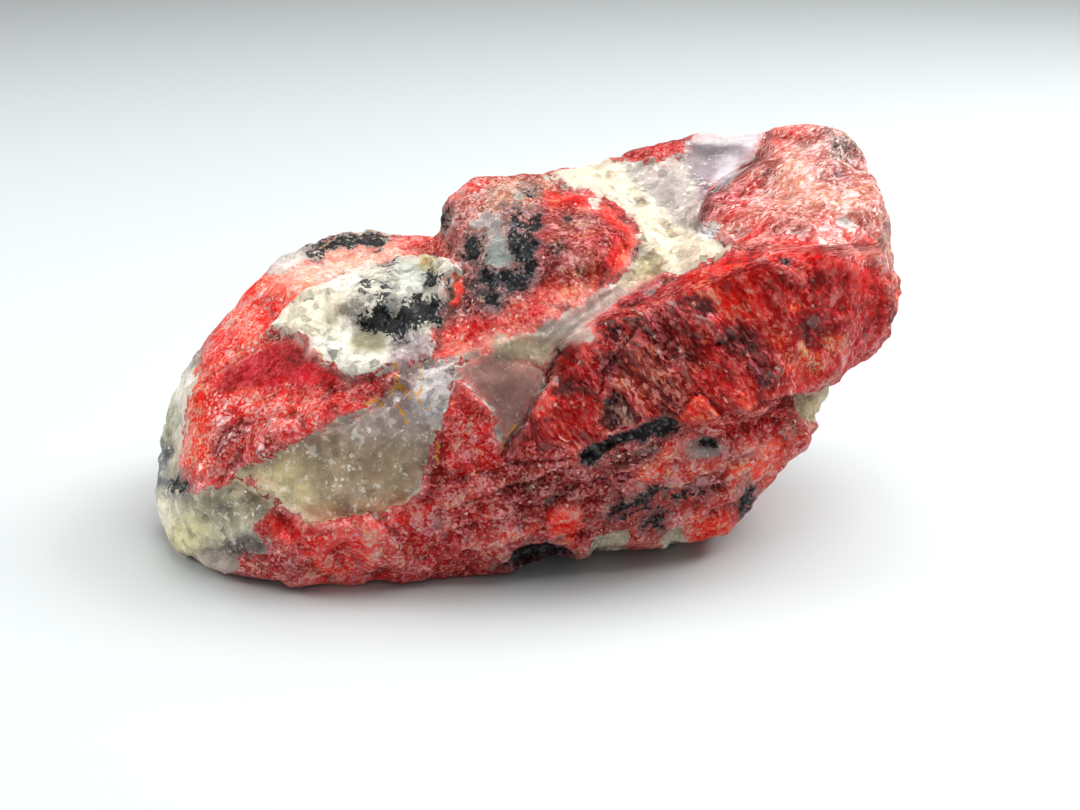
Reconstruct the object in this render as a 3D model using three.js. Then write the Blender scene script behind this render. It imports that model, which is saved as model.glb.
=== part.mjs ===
// A rough, unworked lump of rhodonite grown together with quartz: one stone, one solid.
// Millimetres, +Z up. The origin is under the middle of the stone, in the plane it rests on;
// +X runs along its length towards the tall, angular end, and -Y is its broad broken front.
//
// The stone is carved the way a real one is: several masses of mineral, each a convex lump with flat
// fracture faces, grown into each other, then split along veins, bitten out where flakes have sprung
// off, and broken into facets and ledges. A skin of even triangles is drawn tight over that shape.

import * as THREE from "three";
import { ConvexHull } from "three/addons/math/ConvexHull.js";
import { mergeVertices } from "three/addons/utils/BufferGeometryUtils.js";

// ---------------------------------------------------------------- driving dimensions

const LENGTH = 119; // along X, from the rounded end to the tall one
const DEPTH = 62; // along Y, from the broken front to the back
const HEIGHT = 61; // along Z, to the top of the tall end
const SKIN_ROWS = 21; // each of the skin's 20 first triangles is split into this many rows, plus one

// ---------------------------------------------------------------- the masses

// Corners of each mass, as [x, y, z]. Those below z = 0 go when the stone is cut flat to rest.
const MASSES = {
  // The rounded, weathered left end, down to its belly in front.
  leftLobe: [
    [-62, -5, 5.5], [-61.5, -1, 13], [-59.5, 1, 21], [-54, 4, 29], [-50.5, 6, 33.5], [-46, 9, 38],
    [-42, 14, 41], [-33, 24, 42.5], [-20, 24, 41.5],
    [-54, -7, 26.5], [-53.5, -19, 13], [-44, -25, 18.5], [-36, -10, 37], [-34, -25.5, 25],
    [-59.5, -11, 0], [-54, -17, -1], [-48, -22, -1], [-40, -24.8, -1], [-27, -23.6, -1], [-17, -20, -1],
    [-31, -28, 11], [-10, -26, 14], [-12, -25.5, 24],
    [-59, 10, 4], [-55, 20, 14], [-48, 28, 24], [-30, 33, 34], [-18, 34, 32],
    [-52, 14, -1], [-44, 23, -1], [-34, 31, 6], [-2, 32, 0], [-4, 33, 30],
  ],
  // The middle of the front, between the rounded end and the tall one.
  middle: [
    [-37, -4, 39.5], [-22, 6, 42], [-14, 2, 42], [-30, -16, 33.5], [-22, -20.5, 33.5], [-14, -19.5, 34.5],
    [-14, -26, 28], [-2, -22.5, 35], [4, -18, 38], [-4, -25.5, 22], [8, -23.5, 20],
    [-22, -22, -1], [-17, -19.8, -1], [-20, -26.5, 8], [-12, -25.5, 9], [3, -23.2, 8], [-6, -18, -0.5],
    [-12, 20, 42], [12, 0, 42], [16, 20, 44], [0, 30, 20], [-30, 20, 20], [10, 20, 5],
  ],
  // The knob that stands up from the middle of the top.
  knob: [
    [-17, 6, 49], [-14, 8, 52.5], [-9.5, 11, 54.5], [-1.5, 13, 55], [4, 12, 54.7],
    [10, 5, 53], [15.5, -4, 48.5], [14.5, -8.5, 44.5], [9, -14, 42], [0, -20, 38],
    [-9, -21, 35.5], [-15, -18, 34.5], [-15.5, -8, 42], [-14.5, -1, 46.5], [0, -9, 49.5], [8, -10, 49.5],
    [-20, 14, 44], [-15, 24, 43], [4, 24, 50], [6, 32, 38], [-12, 33, 34], [0, 0, 24],
  ],
  // The ridge of pale quartz behind the knob, which runs up to the tall end.
  backRidge: [
    [2, 18, 53.5], [7, 16, 54.2], [13, 22, 55.2], [17, 25, 56], [22, 28, 57.5], [31, 29, 58.8],
    [40, 29, 59.4],
    [10, 10, 48], [21, 2, 46.5], [25, 8, 48], [14, -6, 43], [26, -12, 46], [30, 12, 50],
    [-4, 31, 36], [10, 34, 40], [26, 35, 36], [10, 0, 34], [30, 0, 40], [20, 30, 20],
  ],
  // The tall, angular right-hand mass.
  tallEnd: [
    [34, 24, 57.6], [41, 28, 61.2], [48.8, 26.5, 62.3], [53.6, 22.5, 59.2], [55.4, 19, 55.4], [55.4, 15, 51],
    [54.8, 10, 47], [27, 6, 48], [22, -15.5, 45.2], [28, -17, 49.2], [38, -13.5, 51], [46.5, -9, 49],
    [52, -2, 44], [56.3, 3, 37], [56, 12, 38], [54.5, 1, 29], [52, 3, 24.5],
    [9, -15, 39.5], [3, -19.5, 36], [0, -23.5, 26], [9, -24.5, 23.5], [15, -26, 26], [29, -23.5, 26.5],
    [39.5, -15.5, 26.5], [52, 27, 48], [49, 31, 36], [42, 33, 26], [26, 35, 40], [8, -10, 12], [30, 30, 14],
  ],
  // The lower front, which runs back under the tall end and hangs clear of the ground there.
  underside: [
    [14, -25, 25], [0, -25, 21], [-10, -19.5, 1.5], [-1.5, -20.4, 2.5], [4, -20.7, 3], [15, -18.8, 3],
    [23, -15.7, 4], [28.7, -14, 4], [31, -12, 7], [34.8, -9.5, 11], [39, -6, 15], [43.5, -3, 20],
    [39, -14.5, 25], [48, -3, 23], [29, -21.5, 25],
    [-8, -15, -1], [6, -12, -1], [16, -8, -1], [24, -3, -1], [29, 6, -1], [26, 22, -1], [-10, 32, -1],
    [38, 22, 6], [0, 34, 22], [30, 33, 20], [47, 24, 24], [49, 14, 24], [40, 8, 8],
  ],
};

// Clefts where a vein or a seam has weathered back, each a run of [x, y, z, radius].
const CLEFTS = {
  vein: [
    [9, 19, 60, 6], [16, 10, 56, 6], [20.5, -1, 52.5, 6], [16, -13, 48, 5], [10, -19, 45, 4.5],
    [3, -25, 40, 4],
  ],
  notch: [[-21, 22, 48, 5], [-19.5, 8, 47, 4.5], [-17, 0, 46, 4]],
  seam: [[3, -20.5, 37, 2], [0, -25, 32, 2.4], [-5.5, -27, 22, 1.6]],
  shelf: [[18, -26.5, 24, 1.6], [31, -19.5, 23.5, 2.6], [42, -10, 23.5, 3], [52, 0, 23, 3]],
  backSeam: [[-6, 37, 52, 5], [-4, 37, 34, 5], [-12, 38, 18, 4.5], [-10, 36, 4, 4]],
};

// Shallow bites where flakes have sprung off, each a ball [x, y, z, radius] that stands mostly clear.
const BITES = [
  [-35, -40.6, 25, 17.5], [-23, -41.3, 25, 17.5], // the quartz hollow low in the front
  [-49, -32, 24, 14], // under the rounded shoulder
  [-30, 46, 34, 19], [22, 51, 30, 20], [-48, 41, 8, 18], [40, 44, 46, 16], // along the back
  [66, 10, 62, 17], [62, 22, 24, 14], // beside the tall end
  [33, -1, 66, 14], // the dished top of the tall end
];

// ---------------------------------------------------------------- the shape

const EDGE = 1.6; // width over which two faces of a mass are worn into each other
const FILLET = 2.4; // width of the join between two masses
const EASE = 2.6; // width over which a cleft or a bite runs out

const planesOf = (corners) =>
  new ConvexHull()
    .setFromPoints(corners.map((c) => new THREE.Vector3(...c)))
    .faces.map((face) => new THREE.Plane(face.normal, -face.constant));
const masses = Object.values(MASSES).map(planesOf);

// The lower of a and b, eased over the given width.
const blend = (a, b, width) => {
  const share = Math.max(width - Math.abs(a - b), 0) / width;
  return Math.min(a, b) - (share * share * width) / 4;
};

// How far p is outside a mass, with the edges between its faces worn.
const outside = (planes, p) => {
  let far = -Infinity;
  let next = -Infinity;
  for (const plane of planes) {
    const d = plane.distanceToPoint(p);
    if (d > far) {
      next = far;
      far = d;
    } else if (d > next) next = d;
  }
  return -blend(-far, -next, EDGE);
};
const lump = (p) => masses.reduce((near, planes) => blend(near, outside(planes, p), FILLET), Infinity);

// Each stretch of a cleft: a straight run whose radius changes from one end to the other.
const stretches = Object.values(CLEFTS).flatMap((run) =>
  run.slice(1).map((end, i) => ({
    line: new THREE.Line3(new THREE.Vector3(...run[i]), new THREE.Vector3(...end)),
    radii: [run[i][3], end[3]],
  })),
);
const balls = BITES.map(([x, y, z, radius]) => new THREE.Sphere(new THREE.Vector3(x, y, z), radius));
const nearest = new THREE.Vector3();
const inHollow = (p) => {
  let far = Infinity;
  for (const { line, radii } of stretches) {
    const share = line.closestPointToPointParameter(p, true);
    line.at(share, nearest);
    far = Math.min(far, nearest.distanceTo(p) - THREE.MathUtils.lerp(radii[0], radii[1], share));
  }
  for (const ball of balls) far = Math.min(far, ball.distanceToPoint(p));
  return far;
};
const stone = (p) => -blend(-lump(p), inHollow(p), EASE);

const STEP = 0.5;
const slope = (p) => {
  const at = (dx, dy, dz) => stone(new THREE.Vector3(p.x + dx, p.y + dy, p.z + dz));
  return new THREE.Vector3(
    at(STEP, 0, 0) - at(-STEP, 0, 0),
    at(0, STEP, 0) - at(0, -STEP, 0),
    at(0, 0, STEP) - at(0, 0, -STEP),
  ).divideScalar(2 * STEP);
};

// ---------------------------------------------------------------- fracture facets and ledges

const SEED = 11;
const FACET = 11; // usual size of a fracture facet
const TILT = 0.15; // slope of a facet against the face it belongs to
const CHIP = 0.45; // how far a facet stands above or below its neighbours
const FACET_EASE = 1.6; // width over which one facet runs into the next
const REACH = new THREE.Vector3(64, 38, 34); // half the block that the facets fill
const BLOCK = new THREE.Vector3(-2, 4, 30); // its middle

THREE.MathUtils.seededRandom(SEED);
const either = (size) => (2 * THREE.MathUtils.seededRandom() - 1) * size;
const facetCount = Math.round((8 * REACH.x * REACH.y * REACH.z) / FACET ** 3);
const facets = Array.from({ length: facetCount }, () => ({
  middle: new THREE.Vector3(either(REACH.x), either(REACH.y), either(REACH.z)).add(BLOCK),
  lean: new THREE.Vector3(either(TILT), either(TILT), either(TILT)),
  rise: either(CHIP),
}));

// Height of the facets at p: the nearest one's own plane, eased into the next nearest one's.
const facetAt = (p) => {
  const [first, second] = facets
    .map((facet) => ({ facet, away: facet.middle.distanceTo(p) }))
    .sort((a, b) => a.away - b.away);
  const height = ({ facet }) => facet.rise + facet.lean.dot(p.clone().sub(facet.middle));
  const share = 0.5 * Math.max(0, 1 - (second.away - first.away) / FACET_EASE);
  return THREE.MathUtils.lerp(height(first), height(second), share);
};

// Where the stone is worn smooth, as balls [x, y, z, radius]: its facets are nearly gone there.
const WORN = [
  [-62, 0, 16, 34], // the rounded end
  [-3, 2, 50, 22], // the knob
  [10, 18, 56, 14], // the quartz ridge behind it
].map(([x, y, z, radius]) => new THREE.Sphere(new THREE.Vector3(x, y, z), radius));
const LEAST = 0.25; // share of the facets' height that is left where the stone is most worn
const freshness = (p) =>
  WORN.reduce((least, { center, radius }) => {
    const share = THREE.MathUtils.smoothstep(center.distanceTo(p), 0.6 * radius, radius);
    return Math.min(least, THREE.MathUtils.lerp(LEAST, 1, share));
  }, 1);

// Ledges across the lower front: sheets that dip towards the rounded end, each ending in a small drop.
const LEDGE_PITCH = 7.5;
const LEDGE_DEPTH = 1.5;
const LEDGE_DIP = THREE.MathUtils.degToRad(20);
const ledgeAt = (p) => {
  const climb = p.z * Math.cos(LEDGE_DIP) - p.x * Math.sin(LEDGE_DIP);
  const below = 1 - (((climb / LEDGE_PITCH) % 1) + 1) % 1;
  const inFront = 1 - THREE.MathUtils.smoothstep(p.y, -8, 2);
  const low = 1 - THREE.MathUtils.smoothstep(p.z, 19, 24);
  const along = THREE.MathUtils.smoothstep(p.x, -8, 6);
  return LEDGE_DEPTH * (below - 0.5) * inFront * low * along;
};

// ---------------------------------------------------------------- the skin

const CORE = new THREE.Vector3(2, 4, 26); // a point well inside the stone
const START = new THREE.Vector3(95, 70, 70); // half axes of the ball that the skin starts from
const TIGHTEN = 60; // most steps that draw a point in to the stone
const ROUNDS = 40; // rounds that even out the triangles

const sphere = mergeVertices(
  new THREE.IcosahedronGeometry(1, SKIN_ROWS).deleteAttribute("normal").deleteAttribute("uv"),
);
const index = sphere.index.array;
const skin = [];
for (let i = 0; i < sphere.attributes.position.count; i++) {
  const p = new THREE.Vector3().fromBufferAttribute(sphere.attributes.position, i).multiply(START).add(CORE);
  const inward = CORE.clone().sub(p).normalize();
  for (let n = 0; n < TIGHTEN; n++) p.addScaledVector(inward, 0.9 * stone(p));
  skin.push(p);
}

const neighbours = skin.map(() => new Set());
for (let i = 0; i < index.length; i += 3) {
  const [a, b, c] = [index[i], index[i + 1], index[i + 2]];
  neighbours[a].add(b).add(c);
  neighbours[b].add(a).add(c);
  neighbours[c].add(a).add(b);
}

// Bring a point back onto the stone, straight up or down its slope.
const seat = (p) => {
  for (let n = 0; n < 3; n++) {
    const out = slope(p);
    const steep = Math.max(out.length(), 0.3);
    p.addScaledVector(out.divideScalar(steep), -0.8 * stone(p));
  }
};

// Draw each point along the surface towards the middle of its neighbours.
const middleOf = (points) =>
  points.reduce((sum, j) => sum.add(skin[j]), new THREE.Vector3()).divideScalar(points.length);
for (let round = 0; round < ROUNDS; round++) {
  const pulls = skin.map((p, i) => middleOf([...neighbours[i]]).sub(p));
  skin.forEach((p, i) => {
    const out = slope(p).normalize();
    pulls[i].addScaledVector(out, -0.85 * pulls[i].dot(out));
    p.addScaledVector(pulls[i], 0.5);
    seat(p);
  });
}

// Break the skin into its facets and ledges, then cut the stone flat where it rests.
skin.forEach((p) => {
  const out = slope(p).normalize();
  p.addScaledVector(out, facetAt(p) * freshness(p) + ledgeAt(p));
  p.setZ(Math.max(p.z, 0));
});

const box = new THREE.Box3().setFromPoints(skin);
const fit = new THREE.Vector3(LENGTH, DEPTH, HEIGHT).divide(box.getSize(new THREE.Vector3()));
const foot = box.getCenter(new THREE.Vector3()).setZ(box.min.z);
const position = skin.flatMap((p) => p.sub(foot).multiply(fit).toArray());

const geometry = new THREE.BufferGeometry();
geometry.setAttribute("position", new THREE.Float32BufferAttribute(position, 3));
geometry.setIndex(new THREE.BufferAttribute(new Uint32Array(index), 1));

const rhodonite = new THREE.Mesh(
  geometry,
  new THREE.MeshStandardMaterial({ color: 0xa8323a, roughness: 0.6, metalness: 0 }),
);
rhodonite.name = "rhodonite_stone";

const part = new THREE.Group();
part.add(rhodonite);
export default part;
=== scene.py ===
"""A rough lump of rhodonite grown together with quartz and manganese oxide, lying on a pale floor.

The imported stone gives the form. Its skin is made finer here, then broken into the small facets,
ledges, crusts and cracks that its minerals have, and coloured mineral by mineral. Where a mineral
lies on the near side is given by outlines, as the patches show from the camera's place; each runs
straight back into the stone, as a vein does. The far side has clouds of the same minerals.

Lengths are in millimetres until the mesh is handed over; Blender's own units are metres.
"""

import math

import bpy
import numpy as np
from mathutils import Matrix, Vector


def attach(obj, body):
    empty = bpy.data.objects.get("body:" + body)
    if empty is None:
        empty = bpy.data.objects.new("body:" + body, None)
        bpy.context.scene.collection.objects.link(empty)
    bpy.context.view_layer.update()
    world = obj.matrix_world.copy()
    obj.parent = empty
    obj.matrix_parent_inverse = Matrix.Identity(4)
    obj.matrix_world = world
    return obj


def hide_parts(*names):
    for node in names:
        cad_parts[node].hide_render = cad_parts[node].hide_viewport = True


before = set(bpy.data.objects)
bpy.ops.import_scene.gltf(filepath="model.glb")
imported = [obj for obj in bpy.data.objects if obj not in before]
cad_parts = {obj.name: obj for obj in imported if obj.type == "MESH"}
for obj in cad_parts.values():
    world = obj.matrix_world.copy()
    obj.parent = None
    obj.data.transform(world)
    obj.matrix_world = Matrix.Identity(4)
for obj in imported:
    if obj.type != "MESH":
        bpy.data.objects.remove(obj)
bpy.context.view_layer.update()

MM = 0.001

# ---------------------------------------------------------------- the camera's place

VIEW = (1080, 810)  # the camera's view in pixels, which the outlines below are given in
LENS = 50.0
SENSOR = 36.0
FOCAL = LENS / SENSOR * VIEW[0]
ELEVATION = math.radians(22)
DISTANCE = 240.0
AIM = np.array([2.35, -3.34, 20.1])
BACK = np.array([0.0, -math.cos(ELEVATION), math.sin(ELEVATION)])
UP = np.array([0.0, math.sin(ELEVATION), math.cos(ELEVATION)])
EYE = AIM + DISTANCE * BACK


def seen(points):
    """Where the camera sees each point, in pixels of its view, and how many mm a pixel is there."""
    away = points - EYE
    depth = -away @ BACK
    across = VIEW[0] / 2 + FOCAL * away[:, 0] / depth
    down = VIEW[1] / 2 - FOCAL * (away @ UP) / depth
    return np.stack([across, down], axis=1), depth / FOCAL


# ---------------------------------------------------------------- noise


def smoothstep(low, high, value):
    share = np.clip((value - low) / (high - low), 0, 1)
    return share * share * (3 - 2 * share)


def lattice(cell, seed):
    """A random number from 0 to 1 for each whole-numbered cell, by mixing the bits of its numbers."""
    x, y, z = (cell[..., k].astype(np.int64).astype(np.uint32) for k in range(3))
    mixed = x * np.uint32(0x8DA6B343) ^ y * np.uint32(0xD8163841) ^ z * np.uint32(0xCB1AB31F)
    mixed ^= np.uint32(seed * 0x9E3779B1 & 0xFFFFFFFF)
    for shift, factor in ((16, 0x7FEB352D), (15, 0x846CA68B)):
        mixed ^= mixed >> np.uint32(shift)
        mixed *= np.uint32(factor)
    mixed ^= mixed >> np.uint32(16)
    return mixed / 2.0**32


FACET_EDGE = 0.7  # mm over which one facet's plane turns into the next one's
CORNERS = [np.array([i, j, k]) for i in (0, 1) for j in (0, 1) for k in (0, 1)]
AROUND = [np.array([i, j, k]) for i in (-1, 0, 1) for j in (-1, 0, 1) for k in (-1, 0, 1)]
FAR_OFF = 9.0  # further than any grain's middle is, in grains


def clouds(points, size, seed, octaves=3):
    """Soft noise from -1 to 1 whose largest blotches are about size across."""
    total = np.zeros(len(points))
    strength = 1.0
    for octave in range(octaves):
        scaled = points / size * 2**octave
        cell = np.floor(scaled)
        part = smoothstep(0, 1, scaled - cell)
        for corner in CORNERS:
            near = np.prod(np.where(corner, part, 1 - part), axis=1)
            total += strength * near * (2 * lattice(cell + corner, seed + octave) - 1)
        strength *= 0.5
    return total / (2 - 2 * strength)


def grains(points, size, seed):
    """The two nearest grains of a packing of them: offsets from their middles and random triples."""
    scaled = points / size
    cell = np.floor(scaled)
    count = len(points)
    away = np.full((2, count), FAR_OFF)
    offset = np.zeros((2, count, 3))
    chance = np.zeros((2, count, 3))
    for step in AROUND:
        home = cell + step
        jitter, dice = (
            np.stack([lattice(home, start + k) for k in range(3)], axis=1) for start in (seed, seed + 7)
        )
        delta = scaled - home - jitter
        distance = np.linalg.norm(delta, axis=1)
        first = distance < away[0]
        second = ~first & (distance < away[1])
        for held, found in ((away, distance), (offset, delta), (chance, dice)):
            held[1][first] = held[0][first]
            held[0][first] = found[first]
            held[1][second] = found[second]
    return away, offset * size, chance


def facets(points, size, tilt, step, seed):
    """Heights of flat facets about size across, each leaning and standing a little differently."""
    away, offset, chance = grains(points, size, seed)
    lean = np.sum((2 * chance - 1) * tilt * offset, axis=2)
    height = lean + (2 * chance[:, :, 0] - 1) * step
    share = 0.5 * np.clip(1 - (away[1] - away[0]) * size / FACET_EDGE, 0, 1)
    return height[0] * (1 - share) + height[1] * share


# ---------------------------------------------------------------- where the minerals lie

# Outlines in pixels of the camera's view. First the patches that several tables below use.
CREAM_VEIN = [
    (545, 176), (575, 168), (615, 158), (640, 190), (680, 226), (736, 250), (690, 272), (662, 270),
    (640, 245), (625, 215), (600, 196),
]
FEATHER_BAND = [
    (540, 336), (565, 312), (625, 278), (655, 270), (655, 285), (600, 315), (590, 345), (560, 348),
]
BEIGE_BAND = [(490, 336), (535, 334), (556, 338), (554, 356), (541, 368), (515, 360), (492, 348)]
SMOOTH_CLEAVAGE = [
    (208, 388), (225, 370), (255, 350), (285, 335), (300, 334), (312, 348), (320, 360), (345, 376),
    (375, 380), (360, 388), (310, 391), (285, 383), (262, 393), (235, 396),
]
KNOB_RED = [(545, 190), (612, 202), (640, 235), (610, 280), (560, 290), (542, 250)]
KNOB_SCARLET = [(608, 268), (614, 236), (637, 238), (636, 256), (620, 272)]
BROAD_FRONT = [
    (552, 350), (600, 318), (690, 286), (760, 262), (840, 268), (900, 300), (890, 370), (850, 388),
    (740, 416), (680, 428), (600, 445), (540, 440), (530, 415),
]
TALL_TOP = [
    (700, 225), (712, 192), (768, 150), (766, 118), (860, 118), (900, 200), (880, 250), (740, 248),
]
SMOOTH_TOP = [(808, 222), (826, 216), (862, 226), (886, 255), (862, 262), (830, 244)]
CLEAR_CRYSTAL = [
    (597, 424), (603, 402), (613, 388), (624, 394), (634, 409), (641, 421), (626, 427), (611, 432),
]
GLINT_CRYSTAL = [(528, 414), (532, 394), (544, 388), (556, 400), (550, 418), (538, 422)]
FOOT_SCARLET = [(546, 542), (548, 512), (560, 500), (578, 504), (584, 524), (572, 540)]
BRIGHT_LOBE = [(315, 545), (345, 528), (375, 545), (372, 570), (335, 580), (315, 565)]

# Quartz.
QUARTZ = {
    "rounded end": [
        (130, 620), (130, 330), (203, 338), (200, 360), (196, 378), (188, 400), (184, 428),
        (178, 455), (178, 474), (188, 491), (212, 489), (236, 480), (258, 487), (264, 500),
        (281, 502), (268, 514), (256, 524), (254, 532), (270, 541), (268, 552), (240, 557),
        (228, 578), (205, 582)],
    "hollow": [
        (236, 472), (262, 460), (290, 446), (306, 438), (330, 424), (350, 412), (372, 402),
        (380, 392), (400, 378), (398, 366), (420, 360), (455, 359), (453, 385), (446, 405),
        (441, 422), (431, 440), (424, 468), (419, 490), (405, 502), (370, 514), (345, 520),
        (320, 525), (300, 517), (284, 507), (272, 496), (260, 484)],
    "glass facet": [
        (447, 366), (462, 358), (480, 352), (500, 350), (541, 366), (547, 376), (544, 388),
        (534, 400), (527, 415), (519, 430), (508, 448), (501, 442), (500, 425), (492, 410),
        (478, 398), (466, 382), (452, 376)],
    "vein": [
        (545, 178), (575, 168), (605, 160), (622, 157), (640, 160), (660, 163), (680, 160),
        (684, 145), (700, 130), (735, 122), (764, 122), (760, 148), (750, 160), (738, 172),
        (728, 184), (714, 188), (705, 196), (700, 206), (700, 222), (718, 225), (716, 240),
        (736, 250), (715, 259), (698, 264), (680, 276), (664, 274), (640, 287), (620, 299),
        (600, 312), (588, 325), (592, 342), (572, 345), (557, 348), (550, 362), (541, 368),
        (520, 362), (500, 354), (490, 345), (496, 337), (535, 335), (550, 322), (568, 310),
        (590, 297), (612, 284), (626, 270), (637, 256), (641, 242), (635, 228), (623, 213),
        (611, 200), (590, 194), (565, 186)],
    "crust": [
        (270, 332), (282, 317), (295, 305), (310, 295), (330, 284), (350, 274), (370, 270),
        (392, 263), (412, 260), (440, 262), (455, 263), (459, 272), (450, 283), (446, 300),
        (441, 318), (433, 333), (438, 345), (432, 356), (420, 362), (405, 367), (388, 371),
        (370, 375), (352, 378), (343, 374), (334, 364), (322, 361), (313, 351), (309, 340),
        (300, 335), (286, 332)],
    "shoulder": [
        (255, 262), (275, 246), (295, 236), (315, 234), (322, 240), (312, 255), (300, 266),
        (286, 272), (268, 275)],
    "shoulder threads": [
        (306, 254), (318, 242), (340, 232), (360, 227), (380, 229), (392, 238), (382, 249),
        (355, 246), (330, 252), (316, 257)],
    "right corner": [
        (794, 407), (802, 398), (830, 386), (856, 370), (868, 366), (866, 392), (848, 412),
        (826, 424), (806, 420)],
    "ledge pocket": [(683, 449), (700, 442), (723, 444), (717, 452), (702, 457), (688, 456)],
    "foot chips": [(588, 552), (598, 540), (612, 532), (632, 530), (626, 545), (608, 556)],
    "foot corner": [(654, 550), (662, 535), (676, 526), (686, 535), (692, 550)],
    "knob core": [
        (482, 246), (486, 236), (494, 228), (504, 232), (508, 244), (514, 258), (510, 266),
        (498, 270), (486, 264)],
    "knob grit": [
        (470, 222), (484, 214), (500, 214), (506, 226), (494, 230), (482, 232), (472, 232)],
    "knob flake": [(445, 232), (450, 222), (455, 220), (453, 230), (448, 236)],
    "knob top flake": [(512, 200), (520, 193), (524, 196), (516, 204)],
    "knob rim flake": [(592, 198), (598, 197), (600, 208), (594, 210)],
    "white flake": [(830, 222), (848, 219), (850, 228), (838, 228)],
}

# Manganese oxide in ragged blotches.
OXIDE = {
    "crust blotch": [
        (374, 312), (380, 300), (388, 298), (390, 310), (400, 314), (410, 303), (428, 298),
        (446, 302), (443, 315), (437, 323), (424, 321), (415, 335), (409, 346), (396, 343),
        (384, 337), (372, 334), (360, 330), (358, 321), (367, 317)],
    "crust top": [(426, 280), (436, 275), (447, 281), (446, 289), (436, 287)],
    "crust streak": [(385, 300), (386, 286), (390, 285), (391, 300)],
    "crust fleck": [(363, 293), (368, 286), (371, 290), (367, 296)],
    "crust edge": [(380, 270), (388, 264), (396, 266), (388, 272)],
    "knob, edge spot": [(434, 219), (440, 209), (447, 211), (451, 222), (443, 228), (435, 226)],
    "knob, top": [
        (508, 214), (514, 211), (528, 214), (540, 212), (543, 220), (536, 228), (522, 228),
        (512, 222)],
    "knob, middle": [
        (506, 236), (516, 228), (530, 230), (535, 244), (534, 256), (526, 266), (518, 262),
        (508, 248)],
    "knob, left": [
        (462, 246), (468, 238), (478, 236), (484, 244), (482, 256), (472, 258), (464, 254)],
    "knob, low": [
        (480, 276), (490, 270), (504, 268), (520, 268), (532, 262), (534, 274), (524, 290),
        (512, 294), (500, 284), (490, 290), (482, 286)],
    "knob, lowest": [(478, 294), (488, 290), (500, 298), (498, 309), (486, 306)],
    "knob, specks": [(526, 190), (532, 187), (534, 194), (528, 198)],
    "foot fleck": [(652, 529), (656, 517), (663, 516), (662, 527)],
    "foot": [
        (498, 566), (515, 553), (530, 548), (545, 544), (562, 544), (571, 551), (576, 570),
        (540, 572)],
    "right foot": [(739, 515), (743, 494), (752, 483), (756, 500), (746, 520)],
    "rounded end": [(168, 482), (178, 478), (188, 481), (187, 493), (174, 491)],
}

# Oxide in close-grained bars, which keep a clean edge.
OXIDE_BARS = {
    "knob, right speck": [(564, 213), (568, 212), (569, 218), (565, 219)],
    "bright bead": [(782, 266), (785, 259), (792, 260), (790, 266)],
    "vein bead": [(633, 256), (635, 247), (639, 248), (638, 257)],
    "front stripe": [
        (580, 455), (590, 445), (600, 441), (613, 436), (628, 432), (642, 427), (656, 421),
        (667, 418), (675, 420), (682, 429), (672, 434), (658, 437), (645, 441), (630, 445),
        (618, 448), (606, 453), (597, 462), (586, 468), (579, 463)],
    "ledge dash": [(699, 444), (703, 439), (718, 439), (714, 446)],
}

# Oxide drawn out in threads: half width in mm, points.
OXIDE_THREADS = [
    (0.5, [(308, 252), (318, 246), (332, 239), (350, 234), (364, 231)]),
    (0.7, [(322, 250), (338, 243), (352, 239), (368, 238), (380, 242)]),
    (0.4, [(352, 245), (364, 241), (378, 246)]),
    (0.5, [(366, 234), (376, 232), (386, 237)]),
    (0.3, [(330, 246), (342, 244)]),
    (0.4, [(610, 514), (620, 506), (634, 501), (648, 494), (662, 490)]),
    (0.25, [(622, 516), (638, 509), (654, 504)]),
    (0.25, [(646, 527), (656, 519), (664, 510)]),
    (0.2, [(676, 500), (690, 494), (704, 492)]),
]

# Iron stain, in threads.
STAIN = [
    [(396, 366), (395, 380), (399, 392), (397, 404), (402, 418), (405, 425)],
    [(419, 363), (418, 376), (421, 386), (417, 396), (420, 408), (426, 410)],
    [(384, 395), (392, 386), (400, 388)],
    [(365, 402), (374, 396), (380, 400)],
    [(408, 400), (412, 392), (418, 394)],
    [(436, 440), (438, 448), (435, 454), (437, 462)],
    [(503, 452), (509, 438), (517, 426)],
    [(322, 352), (324, 357), (322, 360)],
    [(318, 249), (332, 243), (345, 241)],
    [(356, 237), (366, 236), (374, 238)],
    [(424, 271), (432, 268), (438, 272)],
]

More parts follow.
